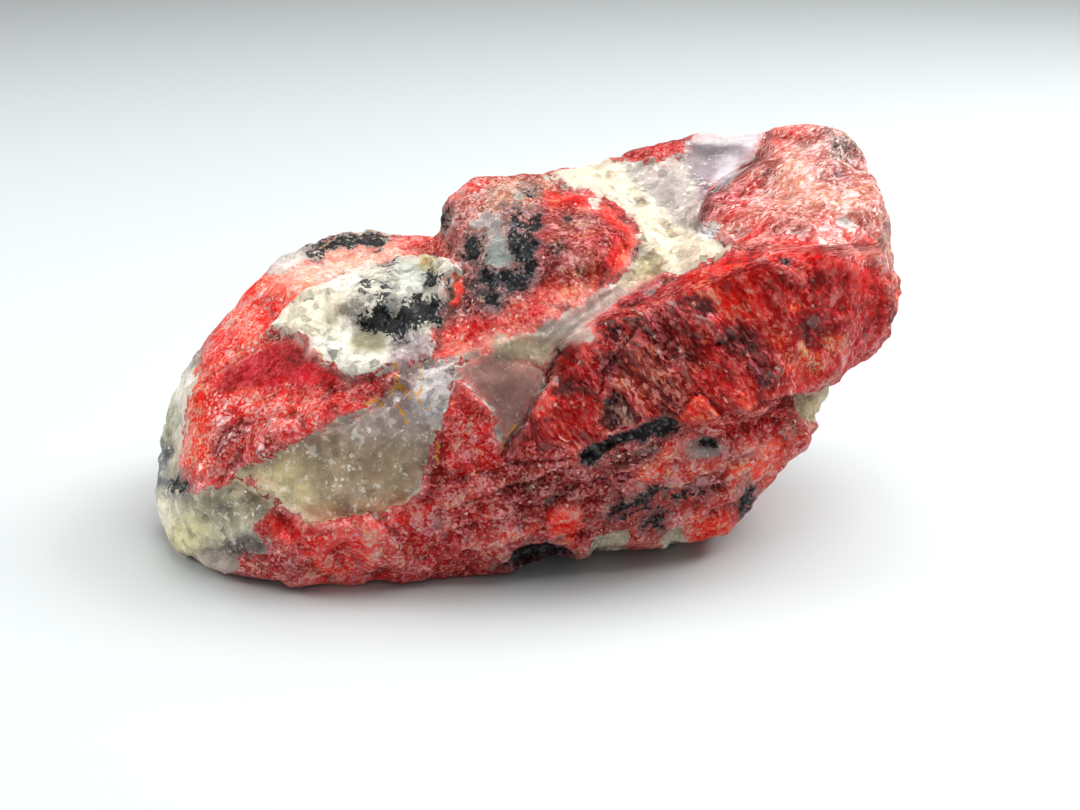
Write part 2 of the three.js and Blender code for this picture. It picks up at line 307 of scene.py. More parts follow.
# The rhodonite's body colours, each laid over the ones before it: what it is, its feather in mm, its
# colour, outline.
RED_BASE = "b23440"
REDS = [
    ("rounded face", 2.0, "d64c4e", [
        (190, 500), (178, 440), (196, 370), (215, 335), (300, 335), (350, 376), (390, 380),
        (410, 400), (330, 424), (240, 476)]),
    ("rounded face, left edge", 1.4, "e46a50", [
        (180, 470), (186, 400), (200, 372), (212, 400), (205, 470)]),
    ("smooth cleavage", 0.7, "ac2a3c", SMOOTH_CLEAVAGE),
    ("smooth cleavage, bright", 0.8, "bc3044", [(258, 382), (300, 372), (345, 380), (300, 388)]),
    ("cut face, rosy sugar", 1.6, "e8827a", [
        (215, 400), (240, 392), (300, 394), (330, 400), (300, 420), (250, 412)]),
    ("cut face, purple crack", 0.8, "9a3040", [
        (213, 450), (220, 432), (238, 418), (252, 422), (246, 434), (230, 440), (220, 458)]),
    ("cut face, purple crack, low", 0.8, "9a3038", [
        (220, 482), (230, 462), (240, 450), (244, 458), (232, 476)]),
    ("cut face, deep", 1.4, "b42c38", [(256, 450), (270, 430), (300, 426), (296, 440), (262, 460)]),
    ("end, mottled", 1.4, "e88878", [
        (202, 380), (214, 340), (236, 302), (262, 272), (300, 262), (300, 300), (285, 322),
        (270, 336), (240, 356)]),
    ("end scarlet", 0.8, "e02e28", [
        (206, 364), (210, 344), (222, 331), (240, 330), (240, 346), (226, 358)]),
    ("end scarlet, low", 0.6, "cc2828", [
        (203, 384), (206, 370), (218, 366), (226, 374), (214, 386)]),
    ("end scarlet, upper", 0.8, "e64638", [
        (236, 306), (244, 286), (262, 274), (270, 281), (256, 296), (246, 308)]),
    ("shoulder scarlet", 0.8, "e0302a", [
        (254, 312), (258, 299), (272, 294), (285, 302), (286, 318), (272, 328), (260, 324)]),
    ("shoulder orange", 1.2, "f07458", [
        (282, 300), (290, 284), (310, 274), (318, 284), (300, 300), (290, 310)]),
    ("shoulder pink", 2.0, "f4cabe", [
        (290, 290), (300, 262), (340, 246), (400, 240), (425, 250), (400, 262), (350, 276)]),
    ("knob flank", 1.2, "c4524c", [
        (400, 250), (425, 228), (445, 230), (456, 240), (452, 262), (420, 262)]),
    ("knob crown", 2.2, "b4a490", [
        (470, 196), (495, 176), (525, 176), (552, 182), (540, 205), (520, 212), (500, 214),
        (480, 216)]),
    ("knob crown, left", 2.0, "b07e7c", [
        (438, 210), (450, 194), (478, 184), (488, 200), (480, 222), (450, 226)]),
    ("knob rim, left", 0.9, "cc4c44", [
        (436, 205), (455, 188), (480, 180), (498, 176), (480, 186), (455, 198)]),
    ("knob grey", 2.0, "787072", [
        (455, 244), (470, 222), (505, 212), (530, 225), (530, 262), (500, 275), (465, 272)]),
    ("knob mauve", 1.8, "785a62", [
        (458, 268), (490, 268), (536, 258), (545, 280), (520, 300), (470, 306), (440, 306)]),
    ("knob red", 2.0, "8c2024", [
        (538, 206), (550, 186), (585, 194), (612, 202), (640, 235), (636, 262), (610, 280),
        (560, 296), (545, 265), (538, 235)]),
    ("knob haze", 2.0, "7e4e4c", [
        (556, 212), (575, 206), (600, 214), (604, 228), (580, 236), (556, 232)]),
    ("knob dusk", 2.4, "8a5056", [
        (540, 244), (560, 236), (582, 242), (590, 262), (576, 278), (556, 274), (542, 262)]),
    ("knob smudge", 0.9, "4c3438", [(548, 246), (560, 240), (568, 246), (562, 256), (552, 260)]),
    ("knob smudge, low", 0.8, "55403f", [(576, 266), (584, 264), (588, 272), (580, 276)]),
    ("knob scarlet", 0.6, "d8181a", [(608, 262), (616, 238), (624, 240), (622, 254), (612, 272)]),
    ("knob orange", 0.7, "e8583c", [
        (622, 252), (626, 240), (637, 240), (636, 254), (624, 268), (616, 270)]),
    ("knob rim", 1.0, "cc3028", [
        (545, 190), (590, 196), (618, 206), (638, 234), (626, 238), (600, 214), (570, 206),
        (548, 204)]),
    ("knob foot", 1.8, "d07a76", [
        (500, 312), (520, 296), (550, 282), (600, 276), (604, 290), (560, 308), (540, 330),
        (510, 334)]),
    ("knob foot, deep", 1.2, "c23c44", [
        (515, 312), (532, 298), (548, 300), (545, 318), (525, 326)]),
    ("knob underside", 1.4, "93646a", [
        (440, 304), (470, 300), (505, 304), (502, 316), (470, 318), (440, 322)]),
    ("knob foot, left", 1.4, "cc4e4c", [
        (438, 352), (440, 322), (500, 318), (520, 326), (498, 344), (470, 355)]),
    ("knob foot, pale", 1.4, "e8a498", [
        (440, 356), (446, 344), (480, 348), (500, 340), (498, 350), (470, 358)]),
    ("orange nub", 0.6, "ec6a50", [(447, 300), (448, 280), (462, 276), (466, 292), (456, 304)]),
    ("tall top face", 2.0, "b88a84", [
        (700, 225), (712, 192), (768, 150), (766, 118), (860, 118), (900, 200), (905, 300),
        (870, 262), (830, 240), (790, 234), (740, 248)]),
    ("tall top, pale", 1.8, "d2b8ae", [
        (780, 175), (800, 140), (840, 165), (872, 190), (862, 215), (820, 205), (785, 205)]),
    ("tall top, red left", 1.4, "b8484c", [
        (704, 222), (716, 200), (745, 178), (762, 182), (752, 205), (728, 226)]),
    ("tall top, red low", 1.0, "c84a48", [
        (730, 246), (742, 226), (765, 216), (778, 224), (760, 238), (742, 250)]),
    ("tall top, rosy rim", 1.2, "d8706c", [
        (765, 122), (790, 116), (815, 124), (800, 138), (776, 146), (764, 140)]),
    ("tall top, smudge", 1.0, "7e686a", [(758, 173), (764, 163), (776, 166), (772, 176)]),
    # red rhodonite of the steep left flank, drawn darker as painted shade
    ("tall top, left flank, partly painted shade", 1.0, "a03e48", [
        (698, 216), (704, 198), (735, 180), (740, 200), (722, 224)]),
    ("tall top, grey", 2.0, "b08a8c", [
        (800, 150), (825, 125), (868, 140), (876, 170), (840, 185), (810, 175)]),
    ("tall top, dusky", 1.0, "66605f", [
        (828, 130), (842, 124), (860, 134), (866, 150), (852, 161), (838, 166), (828, 156)]),
    ("tall top, smooth", 0.8, "d47a7a", SMOOTH_TOP),
    ("front", 2.0, "b01617", [
        (540, 400), (552, 350), (600, 315), (690, 280), (760, 262), (850, 268), (910, 290),
        (900, 370), (850, 390), (740, 418), (680, 428), (600, 445), (520, 450)]),
    ("ridge scarlet", 1.6, "d00a08", [
        (684, 280), (735, 254), (765, 243), (800, 234), (828, 244), (848, 262), (862, 275),
        (840, 278), (800, 266), (765, 272), (735, 286), (700, 294)]),
    ("ridge, clear", 0.8, "e00804", [
        (775, 250), (790, 240), (812, 242), (826, 256), (815, 264), (785, 262)]),
    ("ridge scarlet, end", 1.6, "d40e0a", [
        (850, 268), (880, 272), (890, 300), (884, 326), (866, 312), (856, 292)]),
    ("ridge, pale rim", 0.9, "e07a74", [
        (880, 262), (906, 290), (902, 312), (892, 300), (884, 276)]),
    ("front, orange band", 1.8, "d83426", [
        (690, 284), (720, 270), (752, 272), (762, 300), (768, 330), (745, 332), (722, 308)]),
    ("front, orange band, end", 1.2, "d04a30", [
        (764, 322), (776, 326), (806, 360), (812, 382), (798, 380), (780, 352)]),
    ("front, left", 2.4, "961e22", [
        (600, 330), (640, 300), (700, 296), (716, 340), (690, 380), (640, 356), (604, 372)]),
    ("front, brown streaks", 2.0, "a8584e", [
        (622, 350), (655, 350), (690, 392), (675, 418), (640, 400), (615, 376)]),
    ("front, dark top", 1.0, "6c121c", [
        (688, 296), (704, 292), (714, 300), (716, 314), (704, 320), (694, 308)]),
    ("front, dark middle", 1.8, "82141e", [
        (715, 325), (745, 320), (768, 345), (782, 378), (765, 388), (735, 362)]),
    ("front, dark eye", 0.8, "72121c", [
        (724, 330), (736, 328), (742, 344), (732, 352), (722, 344)]),
    ("front, dark eye, right", 0.8, "72121c", [
        (738, 330), (752, 326), (760, 338), (756, 348), (742, 344)]),
    ("front, wine drop", 0.5, "641626", [
        (757, 370), (766, 366), (774, 376), (772, 390), (762, 390), (756, 382)]),
    ("front, dark left", 0.9, "6c141c", [
        (666, 344), (680, 346), (690, 356), (684, 366), (670, 360)]),
    ("front, dark far left", 1.0, "72141c", [
        (600, 362), (614, 352), (622, 364), (612, 382), (602, 380)]),
    ("front, dark upper left", 0.8, "6c1016", [
        (606, 330), (618, 324), (624, 334), (616, 344), (606, 340)]),
    ("front, right", 2.6, "be1216", [
        (780, 290), (850, 285), (885, 325), (885, 360), (820, 385), (785, 350)]),
    ("front, right, deep", 2.0, "a61420", [
        (795, 322), (830, 312), (862, 326), (850, 350), (815, 356), (796, 342)]),
    ("front, right foot", 1.4, "c2262c", [
        (770, 398), (800, 384), (850, 372), (880, 350), (884, 366), (850, 386), (800, 404)]),
    ("front, salmon patch", 0.7, "e08a6c", [
        (824, 340), (836, 334), (846, 338), (842, 350), (828, 352)]),
    ("front, salmon patch, low", 0.8, "dc6e50", [
        (802, 356), (814, 350), (822, 362), (816, 374), (804, 368)]),
    ("front, pale flake", 0.4, "f0d0b8", [
        (795, 344), (800, 340), (808, 348), (806, 354), (798, 352)]),
    ("front, orange bead", 0.5, "ea5a30", [
        (788, 304), (796, 302), (802, 308), (794, 313), (788, 310)]),
    ("left crystals", 1.2, "c02228", [(556, 345), (578, 335), (588, 350), (584, 378), (560, 375)]),
    ("left crystals, dark", 1.0, "7c1018", [
        (560, 378), (590, 376), (592, 392), (565, 396), (552, 390)]),
    ("clear crystal", 0.6, "4a2024", CLEAR_CRYSTAL),
    ("glint crystal", 0.5, "d83428", GLINT_CRYSTAL),
    ("orange wedge", 0.4, "dc481e", [(676, 424), (690, 400), (702, 396), (722, 418), (712, 426)]),
    ("orange sliver", 0.4, "d03c1c", [
        (720, 382), (732, 384), (746, 394), (760, 408), (752, 414), (738, 404), (726, 394)]),
    ("middle red", 1.4, "ca363c", [
        (450, 380), (466, 380), (480, 396), (494, 408), (502, 425), (505, 465), (490, 486),
        (445, 474), (440, 450), (444, 415)]),
    ("lower front", 2.0, "be5054", [
        (440, 492), (520, 462), (600, 448), (690, 430), (745, 420), (830, 408), (780, 480),
        (740, 540), (600, 572), (500, 575), (420, 590), (430, 540)]),
    ("lower front, dark", 2.4, "8a262c", [
        (500, 478), (560, 470), (625, 476), (628, 505), (560, 512), (505, 510)]),
    ("lower front, red", 1.2, "bc1a22", [
        (722, 424), (770, 412), (805, 405), (790, 432), (745, 442), (720, 438)]),
    ("lower front, bright", 1.8, "f27a68", [
        (725, 470), (750, 445), (790, 440), (765, 482), (738, 496), (722, 488)]),
    ("lower front, pink", 2.0, "d06a6a", [
        (640, 470), (690, 462), (725, 470), (715, 505), (660, 510), (636, 492)]),
    ("lower front, maroon", 1.6, "94303c", [
        (566, 478), (600, 458), (640, 448), (664, 440), (662, 452), (640, 470), (625, 488),
        (604, 502), (566, 500)]),
    ("lower front, salmon band", 1.0, "ec7c6c", [
        (626, 494), (632, 480), (646, 466), (660, 456), (668, 440), (676, 446), (668, 468),
        (650, 486)]),
    ("lower front, plum", 0.8, "963e4c", [
        (686, 478), (720, 466), (728, 474), (726, 490), (700, 496), (684, 490)]),
    ("lower front, wine", 1.2, "8c2a36", [
        (714, 446), (740, 448), (756, 450), (740, 462), (722, 464)]),
    ("foot scarlet", 0.8, "ee4434", FOOT_SCARLET),
    ("foot scarlet, right", 1.2, "e84a34", [
        (684, 530), (700, 516), (738, 512), (742, 530), (716, 545), (690, 545)]),
    ("low band", 2.0, "f48484", [
        (225, 590), (235, 560), (270, 545), (320, 526), (400, 510), (440, 500), (445, 560),
        (440, 590), (300, 605)]),
    ("low band, mauve", 1.8, "c4606a", [
        (232, 566), (262, 548), (300, 548), (312, 570), (290, 592), (240, 592)]),
    ("low band, scarlet", 1.2, "e0363a", [
        (258, 528), (266, 515), (300, 520), (325, 532), (320, 545), (280, 545)]),
    ("low band, bright", 1.6, "e64c50", BRIGHT_LOBE),
    ("low band, dark", 2.2, "ca5660", [
        (375, 575), (385, 530), (440, 515), (500, 515), (545, 530), (500, 560), (430, 582)]),
    ("ridge cap", 0.8, "c84446", [
        (612, 166), (640, 148), (682, 140), (684, 158), (660, 162), (635, 160)]),
]

# The quartz's body colours, in the same way.
QUARTZ_BASE = "c4beb2"
QUARTZES = [
    ("rounded end", 2.0, "d8d0b4", [
        (130, 600), (130, 330), (205, 335), (190, 480), (260, 500), (230, 580)]),
    ("rounded end, crest", 1.0, "8e887c", [
        (184, 384), (184, 352), (206, 340), (204, 362), (194, 372)]),
    ("rounded end, white", 1.2, "faf4e8", [
        (170, 400), (182, 376), (200, 364), (196, 380), (188, 412), (180, 446), (168, 430)]),
    ("rounded end, green", 1.2, "aeac8c", [
        (160, 440), (166, 408), (176, 404), (178, 424), (172, 452)]),
    ("rounded end, edge", 1.0, "747a7a", [
        (148, 500), (152, 456), (164, 436), (172, 452), (164, 476), (176, 480), (160, 492)]),
    ("rounded end, lobe", 1.4, "fbf4dc", [
        (152, 530), (154, 500), (166, 488), (182, 486), (178, 510), (170, 540)]),
    ("rounded end, low", 1.6, "f0e6b4", [
        (160, 548), (172, 520), (196, 512), (212, 530), (204, 552), (182, 556)]),
    ("rounded end, olive", 1.2, "aaa286", [
        (180, 496), (212, 488), (236, 482), (262, 490), (280, 502), (258, 524), (225, 528),
        (196, 514)]),
    ("rounded end, smoky", 0.9, "7c7668", [
        (208, 498), (222, 496), (236, 506), (226, 514), (212, 512)]),
    ("rounded end, olive right", 1.0, "8c8068", [
        (232, 486), (262, 490), (280, 502), (262, 514), (244, 504)]),
    ("rounded end, dark", 1.2, "6e5e5a", [
        (210, 552), (236, 538), (262, 532), (274, 545), (262, 558), (232, 560)]),
    ("rounded end, foot", 1.2, "d0bcb0", [
        (192, 556), (212, 552), (236, 560), (232, 582), (212, 580)]),
    ("rounded end, rosy rim", 1.0, "bc867c", [
        (158, 545), (172, 552), (196, 562), (212, 576), (222, 592), (180, 590)]),
    ("hollow", 2.0, "ac957a", [
        (236, 472), (306, 436), (372, 400), (430, 400), (430, 470), (405, 505), (320, 528),
        (262, 486)]),
    ("hollow, cream side", 3.0, "d6c698", [
        (238, 474), (285, 455), (305, 470), (318, 505), (345, 524), (300, 520)]),
    ("hollow, violet side", 2.5, "a8968e", [
        (330, 425), (380, 396), (432, 400), (425, 445), (380, 440), (345, 440)]),
    ("hollow, warm rim", 1.6, "cc9470", [
        (290, 506), (345, 510), (402, 494), (412, 506), (372, 522), (315, 532)]),
    ("hollow, cream ridge", 1.6, "e2d6b0", [
        (236, 474), (262, 482), (286, 502), (312, 518), (312, 530), (280, 512), (256, 492),
        (234, 482)]),
    ("hollow, threads", 1.6, "a08a88", [
        (375, 405), (398, 368), (420, 362), (415, 400), (400, 425)]),
    ("milky strip", 1.0, "d2c8c8", [
        (416, 366), (422, 358), (457, 358), (453, 388), (442, 420), (424, 424), (412, 404)]),
    ("glass facet", 1.0, "926c64", [
        (450, 368), (480, 352), (520, 356), (547, 372), (530, 412), (506, 450), (496, 412)]),
    ("feather band", 1.4, "c4b2a8", FEATHER_BAND),
    ("beige", 1.2, "b0a084", BEIGE_BAND),
    ("cream vein", 1.6, "eadcc0", CREAM_VEIN),
    ("vein foot", 1.4, "b4a680", [(616, 284), (638, 256), (660, 250), (668, 272), (640, 288)]),
    ("grey slope", 1.8, "b8aca6", [
        (632, 168), (660, 160), (684, 172), (700, 200), (700, 236), (676, 226), (650, 196)]),
    ("window", 1.0, "94868a", [
        (680, 162), (684, 142), (740, 140), (762, 150), (735, 176), (715, 188), (700, 190)]),
    ("window, strip", 0.7, "746a6e", [
        (684, 150), (690, 144), (735, 145), (742, 150), (725, 154), (695, 158)]),
    ("window, light", 0.8, "b4aaae", [
        (712, 166), (722, 156), (742, 154), (752, 152), (740, 166), (724, 174)]),
    # painted shadow: the window's quartz drawn darker and more purple where it lies in shade
    ("window, painted shadow", 0.8, "8a7078", [(700, 200), (700, 180), (712, 176), (716, 190), (705, 202)]),
    ("window, top", 0.7, "c4bcbe", [
        (682, 144), (700, 128), (735, 120), (766, 120), (762, 152), (748, 152), (740, 144),
        (700, 143)]),
    ("window, foot", 0.6, "cfc8d0", [(710, 186), (714, 174), (730, 164), (738, 170), (726, 186)]),
    ("vein flake", 0.5, "f2eaea", [(700, 222), (719, 225), (717, 241), (700, 236)]),
    ("crust", 1.6, "f0ead8", [
        (268, 334), (300, 298), (350, 270), (410, 258), (460, 264), (445, 320), (385, 380),
        (340, 378)]),
    ("crust, left", 1.6, "f0e6cc", [(275, 330), (300, 302), (330, 290), (335, 330), (312, 340)]),
    ("crust, grey top", 1.2, "d2d8cc", [
        (393, 268), (425, 268), (430, 285), (410, 300), (395, 295)]),
    ("crust, yellow", 0.8, "e2d294", [(420, 276), (424, 263), (442, 264), (442, 276)]),
    ("crust, tan", 1.0, "ddd2ba", [
        (318, 318), (330, 300), (346, 296), (356, 306), (350, 326), (330, 334)]),
    ("crust, white lip", 0.8, "f8f2e4", [
        (313, 350), (320, 336), (345, 345), (350, 366), (375, 362), (372, 374), (346, 376)]),
    ("crust, glassy", 0.9, "8e886c", [
        (351, 349), (352, 336), (362, 327), (378, 331), (391, 341), (389, 352), (376, 358),
        (360, 357)]),
    ("crust, glassy inset", 0.6, "8c9488", [(384, 312), (388, 300), (402, 304), (402, 314)]),
    ("crust, foot", 1.0, "b0a0a2", [
        (385, 372), (395, 345), (420, 335), (438, 345), (430, 362), (405, 370)]),
    ("shoulder threads", 1.2, "b0a088", [
        (306, 254), (330, 236), (365, 228), (390, 238), (380, 250), (330, 254)]),
    ("shoulder", 1.2, "d2c8c0", [(250, 270), (275, 245), (320, 234), (312, 262), (285, 275)]),
    ("knob core", 1.0, "9aa29c", QUARTZ["knob core"]),
    ("knob grit", 1.0, "b0a4a2", QUARTZ["knob grit"]),
    ("right corner", 1.0, "c0b088", [(786, 412), (868, 360), (870, 405), (812, 430)]),
    ("ledge pocket", 1.0, "988e88", [(680, 440), (724, 438), (720, 460), (684, 460)]),
    ("foot", 1.0, "ccbea6", [(586, 556), (612, 530), (690, 524), (694, 552)]),
    ("flakes", 0.6, "f0e4e0", [(828, 224), (850, 217), (852, 230), (836, 230)]),
]

# How much a body glitters in separate grains: 1 is sugary, 0 an even cleavage face. As above.
GRAIN_BASE = 0.85
GRAIN = [
    ("smooth cleavage", 0.8, 0.15, SMOOTH_CLEAVAGE),
    ("glass facet", 0.6, 0.1, [
        (455, 368), (480, 354), (520, 358), (545, 374), (530, 410), (508, 446), (498, 412)]),
    ("window", 0.6, 0.1, [
        (684, 150), (700, 134), (764, 124), (758, 150), (735, 174), (712, 186), (690, 170)]),
    ("shoulder", 2.0, 0.5, [
        (250, 300), (285, 262), (340, 238), (420, 238), (425, 262), (350, 274), (290, 300)]),
    ("hollow", 1.0, 0.45, [
        (245, 474), (306, 440), (372, 405), (425, 410), (415, 490), (320, 522), (262, 486)]),
    ("knob scarlet", 0.6, 0.1, KNOB_SCARLET),
    ("beige", 0.8, 0.25, BEIGE_BAND),
    ("tall top, smooth", 0.8, 0.3, SMOOTH_TOP),
    ("tall top face", 1.5, 0.75, TALL_TOP),
    ("ledge pocket", 0.8, 0.4, [(680, 440), (724, 436), (720, 460), (684, 460)]),
    ("grey slope", 1.5, 0.45, [
        (640, 172), (660, 162), (684, 172), (700, 200), (696, 228), (676, 220), (650, 196)]),
    ("crust, glassy", 0.6, 0.15, [
        (350, 352), (350, 332), (372, 330), (392, 342), (388, 358), (365, 358)]),
    ("knob core", 1.0, 0.3, QUARTZ["knob core"]),
    ("feather band", 1.2, 0.3, FEATHER_BAND),
    ("knob foot", 1.5, 0.35, [
        (438, 354), (440, 316), (505, 306), (550, 282), (600, 276), (604, 290), (560, 308),
        (540, 332), (480, 356)]),
    ("knob red", 1.5, 0.5, KNOB_RED),
    ("rounded end", 2.0, 0.8, [
        (130, 600), (130, 330), (200, 340), (185, 480), (260, 500), (230, 580)]),
    ("right corner", 0.8, 0.2, [(800, 403), (845, 382), (862, 372), (862, 400), (812, 415)]),
]

# How much of a body is bruised pale. As above.
PALE_BASE = 0.55
PALE = [
    ("smooth cleavage", 0.8, 0.1, SMOOTH_CLEAVAGE),
    ("rounded face, low", 2.0, 0.85, [
        (190, 500), (180, 440), (196, 395), (300, 392), (400, 378), (405, 400), (330, 424),
        (240, 476)]),
    ("front", 2.0, 0.32, BROAD_FRONT),
    ("end, mottled", 2.0, 0.95, [
        (204, 372), (215, 335), (245, 296), (300, 285), (296, 330), (240, 350)]),
    ("knob crown", 2.0, 0.9, [
        (440, 220), (455, 190), (500, 172), (552, 182), (535, 212), (480, 225)]),
    ("front, clear parts", 2.0, 0.2, [
        (688, 290), (722, 306), (768, 340), (782, 376), (765, 390), (712, 332)]),
    ("front, right, clear", 2.0, 0.15, [
        (795, 300), (850, 290), (880, 320), (850, 356), (800, 350)]),
    ("ridge", 1.5, 0.15, [
        (684, 280), (735, 254), (765, 243), (800, 234), (848, 262), (900, 296), (890, 310),
        (800, 270), (735, 290)]),
    ("knob red", 1.5, 0.2, KNOB_RED),
    ("tall top face", 2.0, 1.0, TALL_TOP),
    ("knob scarlet", 0.6, 0.05, KNOB_SCARLET),
    ("shoulder", 2.0, 0.9, [
        (255, 300), (285, 265), (340, 240), (420, 240), (425, 262), (350, 276), (290, 305)]),
]

# The way that the crystals' blades lie in the broad front and in the tall end's top, and how many times
# longer than wide they are.
FRONT_BLADES = np.array([0.64, -0.28, -0.715])
TOP_BLADES = np.array([0.72, 0.6, 0.35])
STRETCH = 2.1

# The lower front, where the stone has parted in thin sheets, and how far apart the partings are in mm.
SHEETS = [
    (440, 500), (520, 462), (600, 446), (690, 430), (745, 418), (830, 405), (790, 490), (740, 545),
    (600, 575), (440, 590),
]
SHEET_DIP = math.radians(20)
LEDGE_PITCH = 4.2

# Forms that stand out from the stone or lie deeper: height in mm, width of the edge in mm, outline.
STEPS = [
    ("crust", 1.0, 0.35, QUARTZ["crust"]),
    ("hollow", -0.9, 0.5, QUARTZ["hollow"]),
    ("cream vein", 0.4, 0.5, CREAM_VEIN),
    ("front stripe", -0.5, 0.4, OXIDE_BARS["front stripe"]),
    ("clear crystal", -0.9, 0.6, CLEAR_CRYSTAL),
    ("foot", -1.0, 0.5, OXIDE["foot"]),
    ("right corner", -1.3, 0.4, QUARTZ["right corner"]),
    ("glint crystal", 0.7, 0.4, GLINT_CRYSTAL),
    ("low band, bright", 0.5, 0.5, BRIGHT_LOBE),
    ("foot scarlet", 0.6, 0.4, FOOT_SCARLET),
    ("glass facet", -0.5, 0.5, QUARTZ["glass facet"]),
]

# Cracks and raised edges along a line: height in mm, half width in mm, points.
LINES = [
    ("feather ridge", 0.25, 0.5, [(546, 334), (572, 314), (604, 292), (634, 272)]),
    ("feather ridge, middle", 0.3, 0.5, [(552, 341), (578, 320), (612, 298), (650, 278)]),
    ("feather ridge, low", 0.25, 0.5, [(560, 347), (588, 324), (622, 302), (658, 286)]),
    ("beige ridge", 0.3, 0.6, [(498, 344), (520, 336), (548, 334)]),
    ("end ridge", 0.5, 1.0, [(182, 553), (212, 548), (240, 536), (262, 520)]),
    ("end ridge, upper", 0.5, 0.9, [(160, 490), (184, 494), (212, 487), (235, 481)]),
    ("end groove", -0.6, 0.6, [(236, 482), (250, 494), (264, 508)]),
    ("end groove, low", -0.5, 0.6, [(205, 556), (222, 548), (246, 538)]),
    ("end groove, olive", -0.4, 0.5, [(206, 500), (216, 510), (236, 508), (250, 500)]),
    ("end crack", -0.4, 0.4, [(170, 470), (168, 448), (176, 424), (182, 400)]),
    ("face crack", -0.5, 0.6, [(214, 452), (222, 434), (238, 420), (252, 422)]),
    ("face crack, low", -0.5, 0.6, [(222, 482), (232, 462), (242, 448)]),
    ("cleavage ridge", 0.35, 0.4, [(196, 392), (214, 379), (240, 361), (266, 344)]),
    ("cleavage ridge, upper", 0.3, 0.3, [(208, 376), (232, 360), (256, 344)]),
    ("shelf crack", -1.3, 0.5, [(722, 421), (742, 415), (770, 406), (800, 399), (815, 395)]),
    ("seam crack", -1.3, 0.6, [
        (557, 350), (550, 366), (546, 378), (535, 397), (527, 414), (514, 438), (504, 456)]),
    ("hollow's raised edge", 0.7, 1.4, [
        (240, 475), (262, 487), (285, 509), (310, 523), (335, 526)]),
    ("cleavage line", -0.35, 0.35, [(200, 384), (230, 366), (262, 346), (300, 333)]),
    ("upper blade crack", -0.7, 0.5, [(596, 400), (606, 372), (622, 345), (640, 322)]),
    ("crystal edge", -0.6, 0.4, [(672, 426), (690, 398), (704, 394), (724, 420)]),
    ("low seam", -0.6, 0.5, [(505, 462), (560, 462), (600, 450), (640, 444)]),
]


def apart(spots, start, end):
    """Distance from each spot to a straight line between two points."""
    run = end - start
    away = spots - start
    share = np.clip(away @ run / (run @ run), 0, 1)
    return np.linalg.norm(away - share[:, None] * run, axis=1)


def inside(spots, outline):
    """Signed distance from each spot to the outline, positive inside it."""
    corners = np.array(outline, float)
    least = np.full(len(spots), np.inf)
    within = np.zeros(len(spots), bool)
    for start, end in zip(corners, np.roll(corners, -1, axis=0)):
        least = np.minimum(least, apart(spots, start, end))
        crosses = (start[1] > spots[:, 1]) != (end[1] > spots[:, 1])
        rise = np.where(crosses, end[1] - start[1], 1.0)
        reached = start[0] + (spots[:, 1] - start[1]) * (end[0] - start[0]) / rise
        within ^= crosses & (spots[:, 0] < reached)
    return np.where(within, least, -least)


def beside(spots, line):
    """Distance from each spot to a line of points."""
    corners = np.array(line, float)
    return np.min([apart(spots, start, end) for start, end in zip(corners[:-1], corners[1:])], axis=0)


def linear(colour):
    """A hex colour as linear red, green and blue."""
    parts = np.array([int(colour[k : k + 2], 16) for k in (0, 2, 4)]) / 255
    return np.where(parts <= 0.04045, parts / 12.92, ((parts + 0.055) / 1.055) ** 2.4)


# ---------------------------------------------------------------- the skin


def merged_skin(cad):
    """The CAD skin's corners in millimetres, with those that coincide made one, and its triangles."""
    mesh = cad.data
    corners = np.zeros(len(mesh.vertices) * 3)
    mesh.vertices.foreach_get("co", corners)
    corners = corners.reshape(-1, 3) / MM
    triangles = np.zeros(len(mesh.polygons) * 3, int)
    mesh.polygons.foreach_get("vertices", triangles)
    _, first, back = np.unique(corners.round(3), axis=0, return_index=True, return_inverse=True)
    return corners[first], back.reshape(-1)[triangles].reshape(-1, 3)


def edges_of(triangles):
    """Every edge once, and for each triangle's three sides the number of its edge."""
    sides = np.sort(np.concatenate([triangles[:, pair] for pair in ([0, 1], [1, 2], [2, 0])]), axis=1)
    edges, number = np.unique(sides, axis=0, return_inverse=True)
    return edges, number.reshape(3, -1).T


def ring_mean(values, edges):
    """The mean of each point's neighbours."""
    total = np.zeros_like(values)
    np.add.at(total, edges[:, 0], values[edges[:, 1]])
    np.add.at(total, edges[:, 1], values[edges[:, 0]])
    return total / np.bincount(edges.ravel(), minlength=len(values))[:, None]


def finer(points, triangles):
    """One round of Loop's subdivision: four triangles for each one."""
    edges, number = edges_of(triangles)
    valence = np.bincount(edges.ravel(), minlength=len(points))
    share = np.where(valence == 3, 3 / 16, 3 / (8 * np.maximum(valence, 3)))[:, None] * valence[:, None]
    kept = points * (1 - share) + ring_mean(points, edges) * share
    across = np.zeros((len(edges), 3))
    for side in range(3):
        np.add.at(across, number[:, side], points[triangles[:, (side + 2) % 3]])
    added = 0.375 * (points[edges[:, 0]] + points[edges[:, 1]]) + 0.125 * across
    a, b, c = triangles.T
    ab, bc, ca = (number + len(points)).T
    parts = [(a, ab, ca), (b, bc, ab), (c, ca, bc), (ab, bc, ca)]
    return np.concatenate([kept, added]), np.concatenate([np.stack(p, axis=1) for p in parts])


def unit(vectors):
    return vectors / np.linalg.norm(vectors, axis=1, keepdims=True)


def normals_of(points, triangles):
    a, b, c = (points[triangles[:, k]] for k in range(3))
    face = np.cross(b - a, c - a)
    total = np.zeros_like(points)
    for k in range(3):
        np.add.at(total, triangles[:, k], face)
    return unit(total)


def relaxed(values, edges, rounds):
    for _ in range(rounds):
        values = 0.5 * values + 0.5 * ring_mean(values, edges)
    return values


